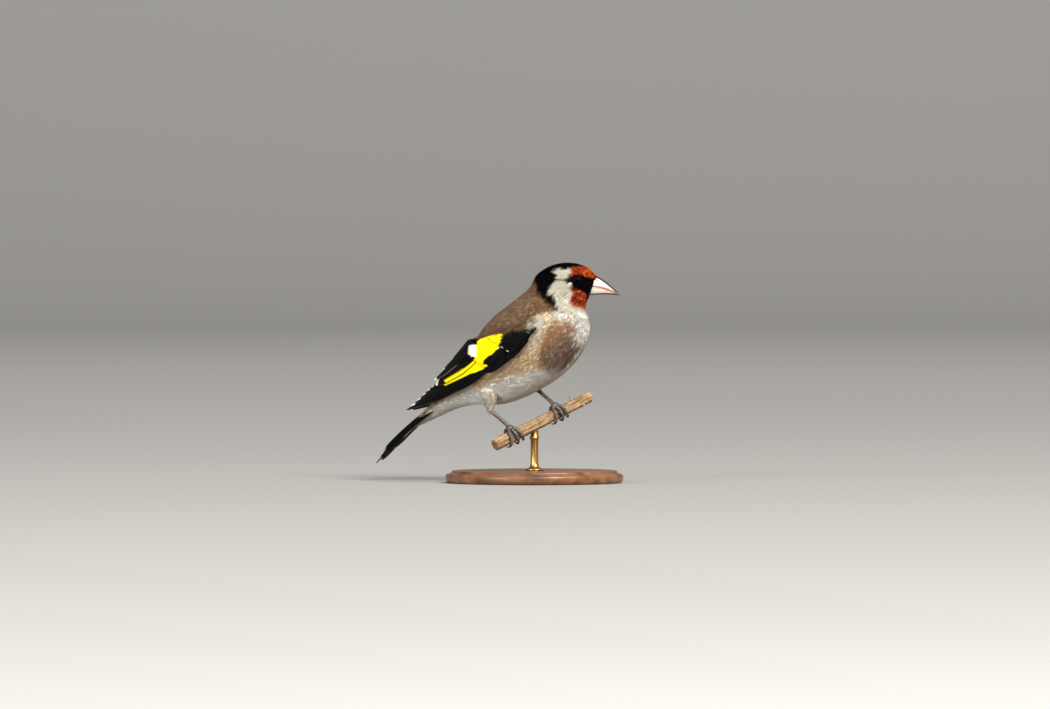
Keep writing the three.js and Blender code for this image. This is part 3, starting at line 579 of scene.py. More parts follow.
def marked(points, wander=0.0):
    """The bird's own colour at points of its body, read a little aside where a feather wanders."""
    u, _, w = in_head(points)
    a, y, b = in_body(points)
    if np.ndim(wander):
        u, w = u + 0.28 * wander[..., 0], w + 0.28 * wander[..., 1]
        a, b = a + 0.8 * wander[..., 0], b + 0.8 * wander[..., 1]
    streak = ripple(points * np.array([0.45, 1, 1]), 2.0, 1)

    # Back: brown, darkest beside the wing, lighter and warmer on the neck
    edge = np.interp(a, [-8, -4, 6, 12, 20, 25], [16, 12, 7.4, 4.6, 1.8, 2.6])
    out = mix(DARK_BROWN, BROWN, ease((b - edge + 1) / 8)[..., None])
    out = mix(out, NECK_BROWN, ease((a - 24) / 8)[..., None])
    out = put(out, streak > 0, DARK_BROWN, 0.4 * ease(streak))
    out = put(out, a < -9, mix(BUFF, WHITE, 0.3), ease((-9 - a) / 8) * 0.75)
    out = put(out, (a < -17) & (b > 5.2) & (ripple(points, 3.4, 8) > 0.5), DARK_BROWN * 0.5, 0.85)

    # Underparts: cream beside the wing, streaked buff flanks, tawny breast sides, white middle
    below = b < np.interp(a, *SIDE_LINE)
    out = put(out, below, CREAM)
    flank = below & (a < 16) & (a > -24)
    depth = b - np.interp(a, *FLANK_LINE)
    out = put(out, flank, BUFF, 0.9 * ease(depth / 3 + 0.5) * ease((17 - a) / 6))
    out = put(out, flank & (streak > 0), TAWNY, 0.3 * ease(streak) * ease(depth / 4) * ease((15 - a) / 6))
    out = put(out, flank, WHITE, 0.95 * ease(0.7 - depth / 3))
    out = put(out, below & (a >= 16) & (b < -11), WHITE, 0.9)
    out = put(out, below & (a > 29), WHITE, ease((a - 29) / 4))
    out = put(out, below & (a > 22) & (b < -9), WHITE, 0.8)
    out = put(out, below & (a < -14), WHITE, 0.8)
    # The patch mixes in its darker tawny by its own streaks and, more and more lower down, as painted shade
    # under the breast's curve.
    tawny = mix(TAWNY, TAWNY_IN_PAINTED_SHADE, np.clip(0.3 + 0.7 * ease((-6 - b) / 9) + 0.3 * streak, 0, 1)[..., None])
    for aside, share in ((-1.6, 0.4), (0.0, 0.5), (1.4, 0.5)):
        soft = aside * (1 + 0.6 * ripple(points, 2.6, 12))
        sides = np.abs(y) > 2.4 + 1.3 * ripple(points, 3.0, 14) + 0.5 * soft
        patch = below & inside(BREAST_PATCH, a + 0.5 * soft, b + soft) & sides
        out = np.where(patch[..., None], mix(out, tawny, share), out)

    # Head
    out = put(out, (u > -3.4) & (w < -8) & (w > -12.5), WHITE)
    near = (u > -15) & (w > -12)
    out = put(out, near & inside(BLACK_NAPE, u, w), CROWN_BLACK)
    cheek = near & inside(WHITE_CHEEK, u, w)
    out = put(out, cheek, CHEEK_WHITE)
    mottle = ripple(points, 1.5, 21)
    out = put(out, cheek & (mottle > 0.35) & (w < -3.4) & (w > -7.2) & (u < 0.5), GREY, 0.85)
    out = put(out, cheek & (mottle < -0.7) & (w < 1), mix(GREY, CREAM, 0.5), 0.7)
    # A thin dark grey line from behind the eye across the white cheek: painted shade along the fold between
    # the white above it and below it.
    out = put(out, cheek & (np.abs(w - 1.65 + 0.04 * u) < 0.42) & (u < 0.8), GREY * 0.3, 0.9)
    glow = np.clip(0.22 + 0.9 * ripple(points, 1.0, 31), 0, 1)
    upper = near & inside(UPPER_RED, u, w)
    lower = near & inside(LOWER_RED, u, w)
    glow = np.clip(glow + 0.35 * (upper & (u > 6.5)) + 0.4 * (lower & (w < -7.4)), 0, 1)
    face = mix(RED, FLAME, glow[..., None] ** 1.5)
    face = np.where((ripple(points, 1.1, 33) > 0.25)[..., None], DARK_RED, face)
    out = np.where((upper | lower)[..., None], face, out)
    specks = ripple(points, 0.9, 41)
    fleck = wander[..., 0] if np.ndim(wander) else specks
    out = put(out, (upper | lower) & (fleck > 1.05), FLAME)
    out = put(out, (upper | lower) & ((specks > 0.75) | (fleck < -1.15)), BLACK, 0.92)
    out = put(out, lower & (specks < -0.95) & (w > -6), CREAM, 0.8)
    out = put(out, near & inside(LORE, u, w), BLACK)
    out = put(out, near & (u > 8.2) & (w < -4.4) & (w > -6.0), BLACK, 0.95)
    out = put(out, near & (np.hypot(u - 1.45, 1.1 * (w - 0.25)) < 0.62), WHITE)
    out = put(out, near & (np.hypot(u - 1.4, w + 1.4) < 0.5), FLAME)
    return out


# Legs: knee, heel, the thigh's radii from knee to heel, and where the foot is along the stem
LEGS = {
    "right": {
        "knee": (-16.6, -9.2, 41), "heel": (-15.4, -10.2, 29.6), "radii": [3.0, 3.6, 3.4, 2.5, 1.3],
        "place": -FOOT_SPACING / 2,
    },
    "left": {
        "knee": (-8.5, 8.6, 46), "heel": (-2.4, 8.2, 38.2), "radii": [2.8, 3.4, 3.3, 2.6, 1.4],
        "place": FOOT_SPACING / 2,
    },
}
SIDES = {"left": 1, "right": -1}


def thigh_surface(side_name):
    """A function like body() for a thigh, with t running from 0 at the knee to 4 at the heel."""
    leg = LEGS[side_name]
    knee, heel = np.array(leg["knee"], float), np.array(leg["heel"], float)
    ahead = unit(heel - knee)
    side = unit(np.cross((0, 0, 1.0), ahead))
    other = np.cross(ahead, side)

    def surface(t, angle, grow=0.0):
        t, angle, grow = np.broadcast_arrays(np.asarray(t, float), angle, grow)
        radius = np.maximum(smooth(leg["radii"], t) + grow, 0.2)
        centre = knee + (heel - knee) * (t / 4)[..., None]
        out = np.cos(angle)[..., None] * side + np.sin(angle)[..., None] * other
        return centre + radius[..., None] * out

    return surface


def body_skin():
    """The body drawn in by the depth of the coat, with both thighs joined to it."""
    t = np.linspace(0, LAST, 190)[:, None]
    angle = around(112)[None, :]
    rings = body(t, angle, -COAT_DEPTH)
    painted = marked(body(t, angle)).reshape(-1, 3)
    skin = loft("skin", rings)
    tree = kdtree.KDTree(len(painted))
    for i, point in enumerate(rings.reshape(-1, 3)):
        tree.insert(point, i)
    tree.balance()
    for side_name in LEGS:
        surface = thigh_surface(side_name)
        thigh = loft("thigh_form", surface(np.linspace(0, 4, 24)[:, None], angle[:, ::4], -0.6))
        union = skin.modifiers.new("thigh", "BOOLEAN")
        union.object = thigh
        union.solver = "EXACT"
        applied(skin)
        bpy.data.objects.remove(thigh)
    layer = skin.data.color_attributes.new("plumage", "FLOAT_COLOR", "POINT")
    colours = np.ones((len(skin.data.vertices), 4), np.float32)
    for i, vertex in enumerate(skin.data.vertices):
        _, nearest, distance = tree.find(vertex.co / MM)
        colours[i, :3] = painted[nearest] if distance < 0.6 else CREAM
    layer.data.foreach_set("color", colours.ravel())
    return rounded(skin)


# Small feathers: each is a fan of thin tapering barbs that lies along its surface
STATIONS = np.array([0, 0.52, 1.0])  # root, middle and tip of a barb
# Barbs are darker towards their roots and a little at their middles: painted shade where the feathers above
# lie over them; their tips a touch lighter.
ROOT_PAINTED_SHADE, MIDDLE_PAINTED_SHADE, TIP_SHADE = 0.72, 0.97, 1.05
MOST_BARBS = 19000  # in one piece
PATCH = 0.003  # a feather's share of the bake's map
STEP = 0.01  # small enough to feel a surface's slope
NEIGHBOURS = list(itertools.product((-1, 0, 1), repeat=3))


def steps(surface, t, angle):
    """How a surface's points move over two small steps of t, and over two of angle."""
    along = surface(t + STEP, angle) - surface(t - STEP, angle)
    across = surface(t, angle + STEP) - surface(t, angle - STEP)
    return along, across


def barb_mesh(name, surface, barbs, colour_at, seed, t, angle, map_u, map_v, length, width, lift, half,
              turn, depth):
    """One object of all the barbs of a set of small feathers, each value a column with a row a feather."""
    draw = np.random.default_rng(seed)
    count = len(t)
    shape = (count, barbs)
    t_step, angle_step = steps(surface, t, angle)
    t_speed = np.maximum(np.linalg.norm(t_step, axis=-1) / (2 * STEP), 0.2)
    angle_speed = np.maximum(np.linalg.norm(angle_step, axis=-1) / (2 * STEP), 1.5)
    fan = np.linspace(-1, 1, barbs) + draw.normal(0, 0.12, shape)
    reach = length * (1 - 0.32 * fan**2) * draw.uniform(0.78, 1.12, shape)
    lean = turn + draw.normal(0, 0.05, shape)
    tip_height = lift * draw.uniform(0.3, 1.2, shape)
    points = np.empty((*shape, len(STATIONS), 3))
    for k, f in enumerate(STATIONS):
        x = reach * f
        y = width * fan * (0.2 + 0.5 * f**0.8) + draw.normal(0, 0.04, shape)
        dx = x * np.cos(lean) - y * np.sin(lean)
        dy = x * np.sin(lean) + y * np.cos(lean)
        height = mix(-depth - 0.1, tip_height, f**0.6)
        points[:, :, k] = surface(t + dx / t_speed, angle + dy / angle_speed, height)

    # Three corners at root and middle, one at the tip
    path = unit(np.gradient(points, axis=2))
    outward = unit(surface(t, angle, 1.0) - surface(t, angle, -1.0))[:, :, None, :]
    across = unit(np.cross(np.broadcast_to(outward, points.shape), path))
    up = unit(np.cross(path, across))
    taper = half[..., None, None] * np.array([0.9, 1.0, 0.0])[:, None]
    rings = np.stack([points - across * taper, points + across * taper, points + 0.5 * up * taper], axis=3)
    vertices = np.concatenate([rings[:, :, :2].reshape(*shape, 6, 3), points[:, :, 2:]], axis=2)
    faces = [(3, 4, 6), (4, 5, 6), (5, 3, 6), (0, 2, 1)]
    for i, j in ((0, 1), (1, 2), (2, 0)):
        faces += [(i, j, 3 + j), (i, 3 + j, 3 + i)]
    faces = (np.arange(count * barbs)[:, None, None] * 7 + np.array(faces)).reshape(-1, 3)

    wander = draw.normal(0, 0.7, (count, 1, 2)) + draw.normal(0, 0.5, (*shape, 2))
    middle = colour_at(points[:, :, 1], wander)
    tip = colour_at(points[:, :, 2], wander)
    shade = draw.normal(1.0, 0.04, (count, 1, 1)) * draw.normal(1.0, 0.05, (*shape, 1))
    # Painted shade: each barb's colour is darkened at its root corners and a little at its middle.
    tones = [middle * ROOT_PAINTED_SHADE] * 3 + [middle * MIDDLE_PAINTED_SHADE] * 3 + [tip * TIP_SHADE]
    colours = np.clip(np.stack(tones, axis=2) * shade[:, :, None, :], 0, 1).reshape(-1, 3)

    # Each feather's patch of the map sits where its root is on the skin laid flat
    strip = ((np.arange(barbs) + 0.5) / barbs - 0.5)[:, None]
    strip = strip + np.array([-0.3, 0.3, 0, -0.3, 0.3, 0, 0]) / barbs
    rise = np.array([0, 0, 0.04, 0.5, 0.5, 0.54, 1.0]) - 0.5
    place = np.broadcast_arrays(map_u[..., None] + PATCH * strip, map_v[..., None] + PATCH * rise)
    place = np.clip(np.stack(place, axis=-1), 0.0005, 0.9995)
    return new_mesh(name, vertices.reshape(-1, 3), faces, colours, {"OFBake": place.reshape(-1, 2)})


def scattered(surface, t_range, spacing, seed, keep=None):
    """Places spread evenly over part of a surface, about a spacing apart: t and angle of each."""
    tries = np.random.default_rng(seed).uniform(size=(90000, 3))
    t = mix(t_range[0], t_range[1], tries[:, 0])
    angle = 2 * np.pi * tries[:, 1]
    area = np.linalg.norm(np.cross(*steps(surface, t, angle)), axis=-1)
    chosen = tries[:, 2] < area / area.max()
    if keep is not None:
        chosen &= keep(t, angle)
    t, angle = t[chosen], angle[chosen]
    gap = np.broadcast_to(spacing(t, angle) if callable(spacing) else spacing, len(t))
    cell = float(gap.max())
    grid, kept = {}, []
    for i, (point, near) in enumerate(zip(surface(t, angle), gap)):
        x, y, z = (point // cell).astype(int)
        crowd = (grid.get((x + dx, y + dy, z + dz), ()) for dx, dy, dz in NEIGHBOURS)
        if all(((other - point) ** 2).sum() >= near * near for cell_points in crowd for other in cell_points):
            grid.setdefault((x, y, z), []).append(point)
            kept.append(i)
    return t[kept], angle[kept]


# Wing: the bed that the folded feathers lie on, with a row every 10 mm from 30 mm ahead of the
# trunk's middle: half width, height of the top and height of the middle
BED_START = 30
BED_STEP = 10
BED = np.array([
    (12.8, 15.4, 0),
    (15.6, 17.2, 0),
    (16.9, 18.2, 0),
    (16.8, 17.6, 0),
    (14.9, 16.4, 0.8),
    (11.8, 15.6, 3.6),
    (8.1, 14.9, 6.9),
    (4.9, 14.7, 11.4),
    (3.4, 15.6, 14.4),
])
SHOULDER_LINE = [84, 83, 70, 42, -8, -20]  # degrees round from the back
SHOULDER_TUCK = 3.4
TUCK_RANGE = 24


def bed_station(along):
    return (BED_START - np.asarray(along, float)) / BED_STEP


def bed_row(along):
    return np.moveaxis(smooth(BED, bed_station(along)), -1, 0)


def shoulder_line(along):
    return smooth(SHOULDER_LINE, np.clip(bed_station(along), 0, 5))


def bed_point(side, along, angle, height):
    """Points on a wing's bed: millimetres along the body, degrees round from the back, and height."""
    along, angle, height = np.broadcast_arrays(np.asarray(along, float), angle, height)
    half, top, middle = bed_row(along)
    raised = height - SHOULDER_TUCK * ease((shoulder_line(along) + 4 - angle) / TUCK_RANGE)
    turn = np.radians(np.maximum(angle, 3))
    above = middle + (top - middle + raised) * np.cos(turn)
    x, z = sagittal(BODY_MIDDLE, BODY_PITCH, (along, above))
    return np.stack([x, side * (half + raised) * np.sin(turn), z], axis=-1)


def bed_radius(along):
    half, top, middle = bed_row(along)
    return np.sqrt(half * (top - middle))


def under_wing(points):
    """Whether points of the trunk lie under a folded wing, clear of its edges."""
    a, y, b = in_body(points)
    half, top, middle = bed_row(a)
    angle = np.degrees(np.arctan2(np.abs(y) / half, (b - middle) / (top - middle)))
    low = smooth([86, 88, 96, 92, 84, 80], np.clip(bed_station(a), 0, 5))
    return (a > -7) & (a < 21) & (angle > shoulder_line(a) + 10) & (angle < low - 5)


class Vanes:
    """Collects long feathers, each a thin closed leaf with a raised shaft, into one mesh."""

    def __init__(self):
        self.points, self.faces, self.colours, self.barbs, self.cells = [], [], [], [], []

    def add(self, place, paint_at, rows=18, columns=8, thick=0.3, thinning=0.75):
        """place(f, x, height) gives points, f running root to tip and x from -1 to 1 across."""
        f = 1 - (1 - np.linspace(0, 1, rows + 1)) ** 1.25
        f, x = np.meshgrid(f, np.linspace(-1, 1, columns + 1), indexing="ij")
        ridge = 0.09 * np.exp(-(((x - 0.12) / 0.1) ** 2)) * (1 - f)
        depth = thick * (1 - thinning * np.abs(x) ** 3) * (1 - 0.5 * f)
        upper = place(f, x, 0.5 * depth + ridge)
        lower = place(f, x, -0.5 * depth)
        start = sum(len(p) for p in self.points)
        self.points.append(np.concatenate([upper.reshape(-1, 3), lower.reshape(-1, 3)]))

        # Faces of the upper side, the lower side and the rim between them
        n = f.size
        i, j = np.meshgrid(np.arange(rows), np.arange(columns), indexing="ij")
        a = (i * (columns + 1) + j).ravel()
        b, c, d = a + 1, a + columns + 2, a + columns + 1
        rim = np.concatenate([
            np.arange(columns + 1),
            np.arange(1, rows + 1) * (columns + 1) + columns,
            rows * (columns + 1) + np.arange(columns - 1, -1, -1),
            np.arange(rows - 1, 0, -1) * (columns + 1),
        ])
        after = np.roll(rim, -1)
        faces = [(a, b, c, d), (a + n, d + n, c + n, b + n), (after, rim, rim + n, after + n)]
        self.faces.append(np.concatenate([np.stack(quads, axis=-1) for quads in faces]) + start)

        # Colours, the slant of the barbs and the cell of the bake's map are the same on both sides
        length = np.linalg.norm(upper[-1, columns // 2] - upper[0, columns // 2])
        width = np.linalg.norm(upper[rows // 2, -1] - upper[rows // 2, 0])
        slant = (f * length - 0.9 * width * np.abs(x)) / 0.35
        self.colours.append(np.tile(paint_at(f, x, upper).reshape(-1, 3), (2, 1)))
        self.barbs.append(np.tile(np.stack([slant, x], -1).reshape(-1, 2), (2, 1)))
        self.cells.append(np.stack([0.5 + 0.46 * x, 0.03 + 0.94 * f], -1).reshape(-1, 2))

    def finish(self, name, flip=False):
        """The mesh, each feather with its own cell of the bake's map, upper side beside lower."""
        count = 2 * len(self.cells)
        across = math.ceil(math.sqrt(2 * count))
        down = math.ceil(count / across)
        places = []
        for number in range(count):
            corner = (number % across, number // across)
            places.append((self.cells[number // 2] + corner) / (across, down))
        faces = np.concatenate(self.faces)
        if flip:
            faces = faces[:, ::-1]
        uvs = {"barbs": np.concatenate(self.barbs), "OFBake": np.concatenate(places)}
        return new_mesh(name, np.concatenate(self.points), faces, np.concatenate(self.colours), uvs)


def leaf(f, shoulder=0.7, point=2.0):
    """Share of a feather's full half width, from root to tip."""
    base = mix(0.5, 1.0, np.minimum(f / 0.45, 1) ** 0.8)
    tip = np.clip((f - shoulder) / (1 - shoulder), 0, 1)
    return base * np.maximum(1 - tip**point, 0) ** 0.62 + 0.012


def wing_vane(side, start, end, width, lift, tip_lift, bow=0.0, late=1.0, point=2.0, tilt=0.17, shoulder=0.7):
    """A place function for one feather on the bed."""

    def place(f, x, height):
        along = mix(start[0], end[0], f)
        angle = mix(start[1], end[1], f**late) + bow * np.sin(np.pi * f)
        half = 0.5 * width * leaf(f, shoulder=shoulder, point=point)
        turn = np.degrees(-x * half / bed_radius(along))
        high = mix(lift, tip_lift, f) - tilt * x * half - 0.06 * (x * half) ** 2 + height
        return bed_point(side, along, angle + turn, high)

    return place


# Tips of the primaries, the lowest first: places along the body, and degrees round from the back
PRIMARY_TIPS = [-42.3, -44, -44.2, -42, -38.5, -35.2, -32.2, -29.6, -27.6]
PRIMARY_ANGLES = [66, 57, 49, 39, 31, 28, 30, 34, 40]


def spread(values, f):
    """The value a share of the way along a few evenly spaced ones, or the one value given."""
    values = np.atleast_1d(values)
    return float(np.interp(f * (len(values) - 1), np.arange(len(values)), values))


def wing_marks(points, aside=0.0, bar=True):
    """Black, with the yellow and pale marks where they lie on the folded wing."""
    a, _, b = in_body(points)
    a = a + aside
    out = np.zeros(points.shape) + BLACK
    out = put(out, inside(COVERT_YELLOW, a, b) | (inside(BAR_YELLOW, a, b) & bar), YELLOW)
    return put(out, inside(PALE_SPOT, a, b), mix(CREAM, WHITE, 0.5))


def wing_colour(tip=None, tip_size=0.06, pale_edge=0.0):
    """Colours of one wing feather: the wing's marks, and a pale tip where one is asked for."""

    def colour(f, x, points):
        out = wing_marks(points, 0.35 * np.sin(8 * x), np.abs(x) < 0.975)
        if tip is not None:
            out = put(out, (f > 1 - tip_size) & (x < 0.65), tip, 0.95)
        return put(out, (x < -0.88) & (f > 0.5), BUFF, pale_edge)

    return colour


def wing(side_name):
    """All the long feathers of one folded wing."""
    side = SIDES[side_name]
    draw = np.random.default_rng(17 if side < 0 else 18)
    vanes = Vanes()

    def row(count, start, end, width, lift, tip_lift, rows, columns=8, thick=0.3, bow=0.0,
            tip=None, tipped=None, tip_size=0.06, pale_edge=0.0, **shape):
        """A row of feathers: start and end are places along and degrees round, from first to last."""
        for i in range(count):
            f = i / (count - 1)
            ends = [[spread(values, f) for values in place] for place in (start, end)]
            place = wing_vane(side, *ends, spread(width, f), lift, tip_lift, bow=spread(bow, f), **shape)
            own_tip = tip if tipped is None or i in tipped else None
            vanes.add(place, wing_colour(own_tip, tip_size, pale_edge), rows, columns, thick)

    # Primaries, secondaries and tertials
    row(9, ((3, -5), (86, 66)), (PRIMARY_TIPS, PRIMARY_ANGLES), 4.8, 0.8, 0.5, 44, thick=0.32, bow=(1, 4),
        tip=WHITE, tipped=range(3, 9), tip_size=0.055, pale_edge=0.12, late=1.5, point=1.7, shoulder=0.6)
    row(5, ((-3, -6), (66, 48)), ((-27, -24.5), (45, 32)), 5.4, 1.15, 0.95, 30, bow=3,
        tip=WHITE, tip_size=0.05, pale_edge=0.1)
    row(3, ((0, 1), (50, 22)), ((-27, -15.5), (24, 13)), (7, 7.4), 1.5, 1.35, 30, 10,
        tip=WHITE, tip_size=0.075, pale_edge=0.2)

    # Great coverts, then those of the hand, the thumb's feathers and the middle coverts
    row(9, ((11, 8), (83, 54)), ((-3.4, -7.4), (82, 50)), 4.4, 1.6, 1.75, 26, 10, tilt=0.2)
    row(6, ((14, 12), (97, 87)), ((-4, -2.4), (92, 84)), 2.9, 1.2, 1.3, 20, 6)
    row(3, ((18, 16), (96, 90)), ((6, 9), (96, 88)), 3.0, 1.55, 1.75, 12, 6,
        tip=WHITE, tipped=[2], tip_size=0.08)
    row(9, ((18, 14), (91, 62)), ((8.6, 5.2), (89, 58)), 4.2, 2.0, 2.2, 16,
        tip=mix(BUFF, WHITE, 0.5), tipped=[0, 2], tip_size=0.07, tilt=0.2)

    # Small coverts, in three lines that are a little uneven
    for line in range(3):
        for f in np.arange(8) / 7:
            start = (mix(23.6 - 3 * line, 17.5 - 3 * line, f) + draw.uniform(-0.4, 0.4), mix(90, 70, f))
            end = (start[0] - 5.2, start[1] - 1.5)
            place = wing_vane(side, start, end, 3.4, 1.9 + 0.12 * line, 2.35, tilt=0.2)
            vanes.add(place, wing_colour(), rows=8, columns=6)
    return vanes.finish("wing_feathers_" + side_name, flip=side > 0)


ARM_FRONT, ARM_BACK = 23, -9


def wing_arm(side_name):
    """The wing's arm and hand, a dark form under the coverts."""
    side = SIDES[side_name]
    f, g = np.meshgrid(np.linspace(0, 1, 24), np.linspace(0, 1, 14), indexing="ij")
    along = mix(ARM_FRONT, ARM_BACK, f)
    low = smooth([92, 100, 97, 86], 3 * f)
    high = mix(shoulder_line(along), 40, f**2) - 10
    swell = np.sin(np.pi * mix(0.1, 0.9, g)) ** 0.6 * np.sin(np.pi * mix(0.14, 0.9, f)) ** 0.5
    outer = bed_point(side, along, mix(low, high, g), 0.1 + 1.5 * swell)
    inner = bed_point(side, along, mix(low, high, g), -1.6)
    rings = np.concatenate([outer, inner[:, ::-1]], axis=1)
    return loft("wing_arm_" + side_name, rings, wing_marks(rings))


# Tail, its measures along it from its root
TAIL_ROOT = (-20.6, 4.5)
TAIL_START = 8.5
TAIL_LENGTHS = [41.5, 42, 43, 45, 48, 41]  # from the middle pair outwards
TAIL_WIDTH = 5.6
TAIL_PITCH = math.radians(26)
TAIL_BEND = math.radians(0.48)
TAIL_ROLL = math.radians(8)
TAIL_SPLAY = math.radians(1.0)
TAIL_STEP = 0.32
TAIL_ARCH = 0.02


def tail_point(along, side, above):
    """Points along, beside and above the tail's bent middle line."""
    root_x, root_z = sagittal(BODY_MIDDLE, BODY_PITCH, TAIL_ROOT)
    pitch = TAIL_PITCH + 0.5 * TAIL_BEND * along
    lean = TAIL_PITCH + TAIL_BEND * along
    rolled_side = side * math.cos(TAIL_ROLL) - above * math.sin(TAIL_ROLL)
    rolled_above = side * math.sin(TAIL_ROLL) + above * math.cos(TAIL_ROLL)
    x = root_x - along * np.cos(pitch) - rolled_above * np.sin(lean)
    z = root_z - along * np.sin(pitch) + rolled_above * np.cos(lean)
    return np.stack(np.broadcast_arrays(x, rolled_side, z), axis=-1)


def tail():
    """Pairs of feathers side by side, each a little lower than the next one inwards."""
    vanes = Vanes()
    for side in (1, -1):
        for pair, length in enumerate(TAIL_LENGTHS):
            out = (pair + 0.5) * side
            level = 1.3 - TAIL_STEP * (pair + (0.45 if side < 0 else 0))

            def place(f, x, height, length=length, out=out, level=level):
                along = mix(TAIL_START, length, f)
                half = 0.5 * TAIL_WIDTH * leaf(f, shoulder=0.8, point=2.8)
                aside = 0.4 * out + (along - TAIL_START) * np.tan(out * TAIL_SPLAY) + x * half
                return tail_point(along, aside, level - TAIL_ARCH * aside**2 + height)

            def colour(f, x, points, pair=pair, side=side):
                shade = np.zeros((*f.shape, 3)) + BLACK
                if pair >= 4:
                    shade = put(shade, (x * side < -0.1) & (f > 0.45) & (f < 0.8), WHITE, 0.9)
                return put(shade, f > 0.985, BUFF, 0.7)

            vanes.add(place, colour, rows=26, thick=0.5, thinning=0.35)
    return vanes.finish("tail_feathers")


# Bill
BILL_ROOT = (10.65, -0.9)
BILL_TIP = (22.0, -4.55)
BILL_RISE = 4.3
BILL_DROP = 3.7
BILL_HALF = 3.1
BILL_ARCH = 0.55
NOSTRIL = (12.5, 1.3)


def bill_half(name, upper):
    """The upper or lower half of the bill, solid, with a rounded ridge."""
    root = head_point(BILL_ROOT[0], 0, BILL_ROOT[1])
    tip = head_point(BILL_TIP[0], 0, BILL_TIP[1])
    side = head_point(0, 1, 0) - head_point(0, 0, 0)
    base = unit(body(0, 0.0) - body(0, np.pi))
    sign, depth, power, band = (1, BILL_RISE, 1.25, 0.95) if upper else (-1, BILL_DROP, 1.1, 0.75)
    angle = np.pi * np.linspace(0, 1, 49)
    rings, colours = [], []
    for share in np.linspace(0, 1, 60):
        centre = mix(root, tip, share)
        if share == 0:
            centre = centre - 0.4 * unit(tip - root)
        centre = centre + np.array([0, 0, BILL_ARCH * math.sin(math.pi * share) + sign * 0.05])
        reach = depth * (1 - share**power) + 0.1
        half = BILL_HALF * (1 - share**1.15) + 0.12
        lip = 0.12 * (1 - share) * np.cos(angle) ** 8 * np.sign(np.cos(angle))
        tilt = unit(mix(base, UP, share))
        out = centre + np.outer(half * np.cos(angle) + lip, side)
        out = out + np.outer(sign * reach * np.sin(angle) ** 0.8, tilt)
        rings.append(out)

        # Pale horn, dark along the ridge and at the tip, brown at the mouth
        pale = mix(paint(194, 166, 152), paint(226, 212, 200), 0.5 + 0.5 * math.cos(5 * share))
        from_ridge = reach * (1 - np.sin(angle) ** 0.8)
        from_mouth = reach * np.sin(angle) ** 0.8
        brown = 0.85 * ease((0.62 - from_mouth) / 0.35) * (1 - 0.2 * share)
        colour = np.zeros((len(angle), 3)) + pale
        colour = put(colour, True, paint(28, 22, 24), 0.96 * ease((band - from_ridge) / 0.3))
        colour = put(colour, True, paint(36, 28, 28), 0.92 * ease((share - 0.7 - 0.1 * np.sin(angle)) / 0.14))
        colour = put(colour, True, paint(120, 78, 52), brown)
        if upper:
            # The nostril is a soft dark spot: painted shade of an opening that the bill's surface does not
            # have.
            u, _, w = in_head(out)
            distance = np.hypot(u - NOSTRIL[0], 1.5 * (w - NOSTRIL[1]))
            colour = put(colour, True, paint(36, 26, 26), 0.85 * ease((0.75 - distance) / 0.45))
        else:
            colour = put(colour, True, paint(70, 56, 56), 0.6 * ease(0.5 - share * 4))
        colours.append(colour)
    return loft(name, rings, np.array(colours))


# Eyes
LID_RADIUS = 1.42
LID_BEADS = 32


def head_half_width(along, above):
    """Half width of the head at a point of its side view."""
    t, angle = np.meshgrid(np.linspace(1, 5, 200), np.linspace(0.4, 2.6, 200), indexing="ij")
    u, side, w = in_head(body(t, angle))
    return side.ravel()[np.argmin((u - along) ** 2 + (w - above) ** 2)]


EYE_SIDE = head_half_width(*EYE_PLACE) - EYE_RADIUS + EYE_PROUD


def eye_place(side_name):
    """The middle of an eyeball, and the direction straight out of it."""
    side = SIDES[side_name]
    outward = unit(head_point(0, side, 0) - head_point(0, 0, 0))
    return head_point(EYE_PLACE[0], side * EYE_SIDE, EYE_PLACE[1]), outward


def eye(side_name):
    """An eyeball with a dark iris round a black pupil."""
    centre, outward = eye_place(side_name)
    ring = hoop(0, 1, UP, np.cross(outward, UP), 64)
    rings, colours = [], []
    for polar in np.linspace(0, np.pi, 40)[1:-1]:
        rings.append(centre + EYE_RADIUS * (math.cos(polar) * outward + math.sin(polar) * ring))
        colours.append(np.zeros(ring.shape) + (paint(16, 10, 8) if 0.5 < polar < 0.8 else paint(3, 3, 3)))
    return loft("eyeball_" + side_name, rings, np.array(colours))


def eyelids(side_name):
    """The bare ring round an eye, finely beaded."""
    centre, outward = eye_place(side_name)
    ahead = unit(head_point(1, 0, 0) - head_point(0, 0, 0))
    turns, sides = 96, 14
    rings = []
    for a in around(turns):
        spoke = math.cos(a) * ahead + 0.94 * math.sin(a) * UP
        radius = LID_RADIUS * (1 + 0.07 * math.cos(2 * a))
        middle = centre + radius * spoke + (EYE_RADIUS - EYE_PROUD + 0.08) * outward
        rings.append(hoop(middle, 0.2 + 0.02 * math.sin(LID_BEADS * a), spoke, outward, sides))
    faces = ring_faces(turns + 1, sides) % (turns * sides)
    return outwards(new_mesh("eyelids_" + side_name, np.reshape(rings, (-1, 3)), faces))


# Stem, feet and claws
STEM_ALONG = np.array([
    math.cos(PERCH_HEADING) * math.cos(PERCH_RISE),
    math.sin(PERCH_HEADING) * math.cos(PERCH_RISE),
    math.sin(PERCH_RISE),
])
STEM_AHEAD = unit(np.array([1.0, 0, 0]) - STEM_ALONG[0] * STEM_ALONG)
STEM_UP = np.cross(STEM_AHEAD, STEM_ALONG)
STEM_RIBS = 7
STEM_RIB = 0.14
STEM_FROM, STEM_TO = -20, 28
STEM_TAPER = 0.006
GRIP_GAP = 0.3
SPINES = [(-16.5, -60, 3.2), (-14, 120, 2.6), (19.5, -25, 3.6), (22.5, 95, 3.0), (24.5, 205, 2.6)]


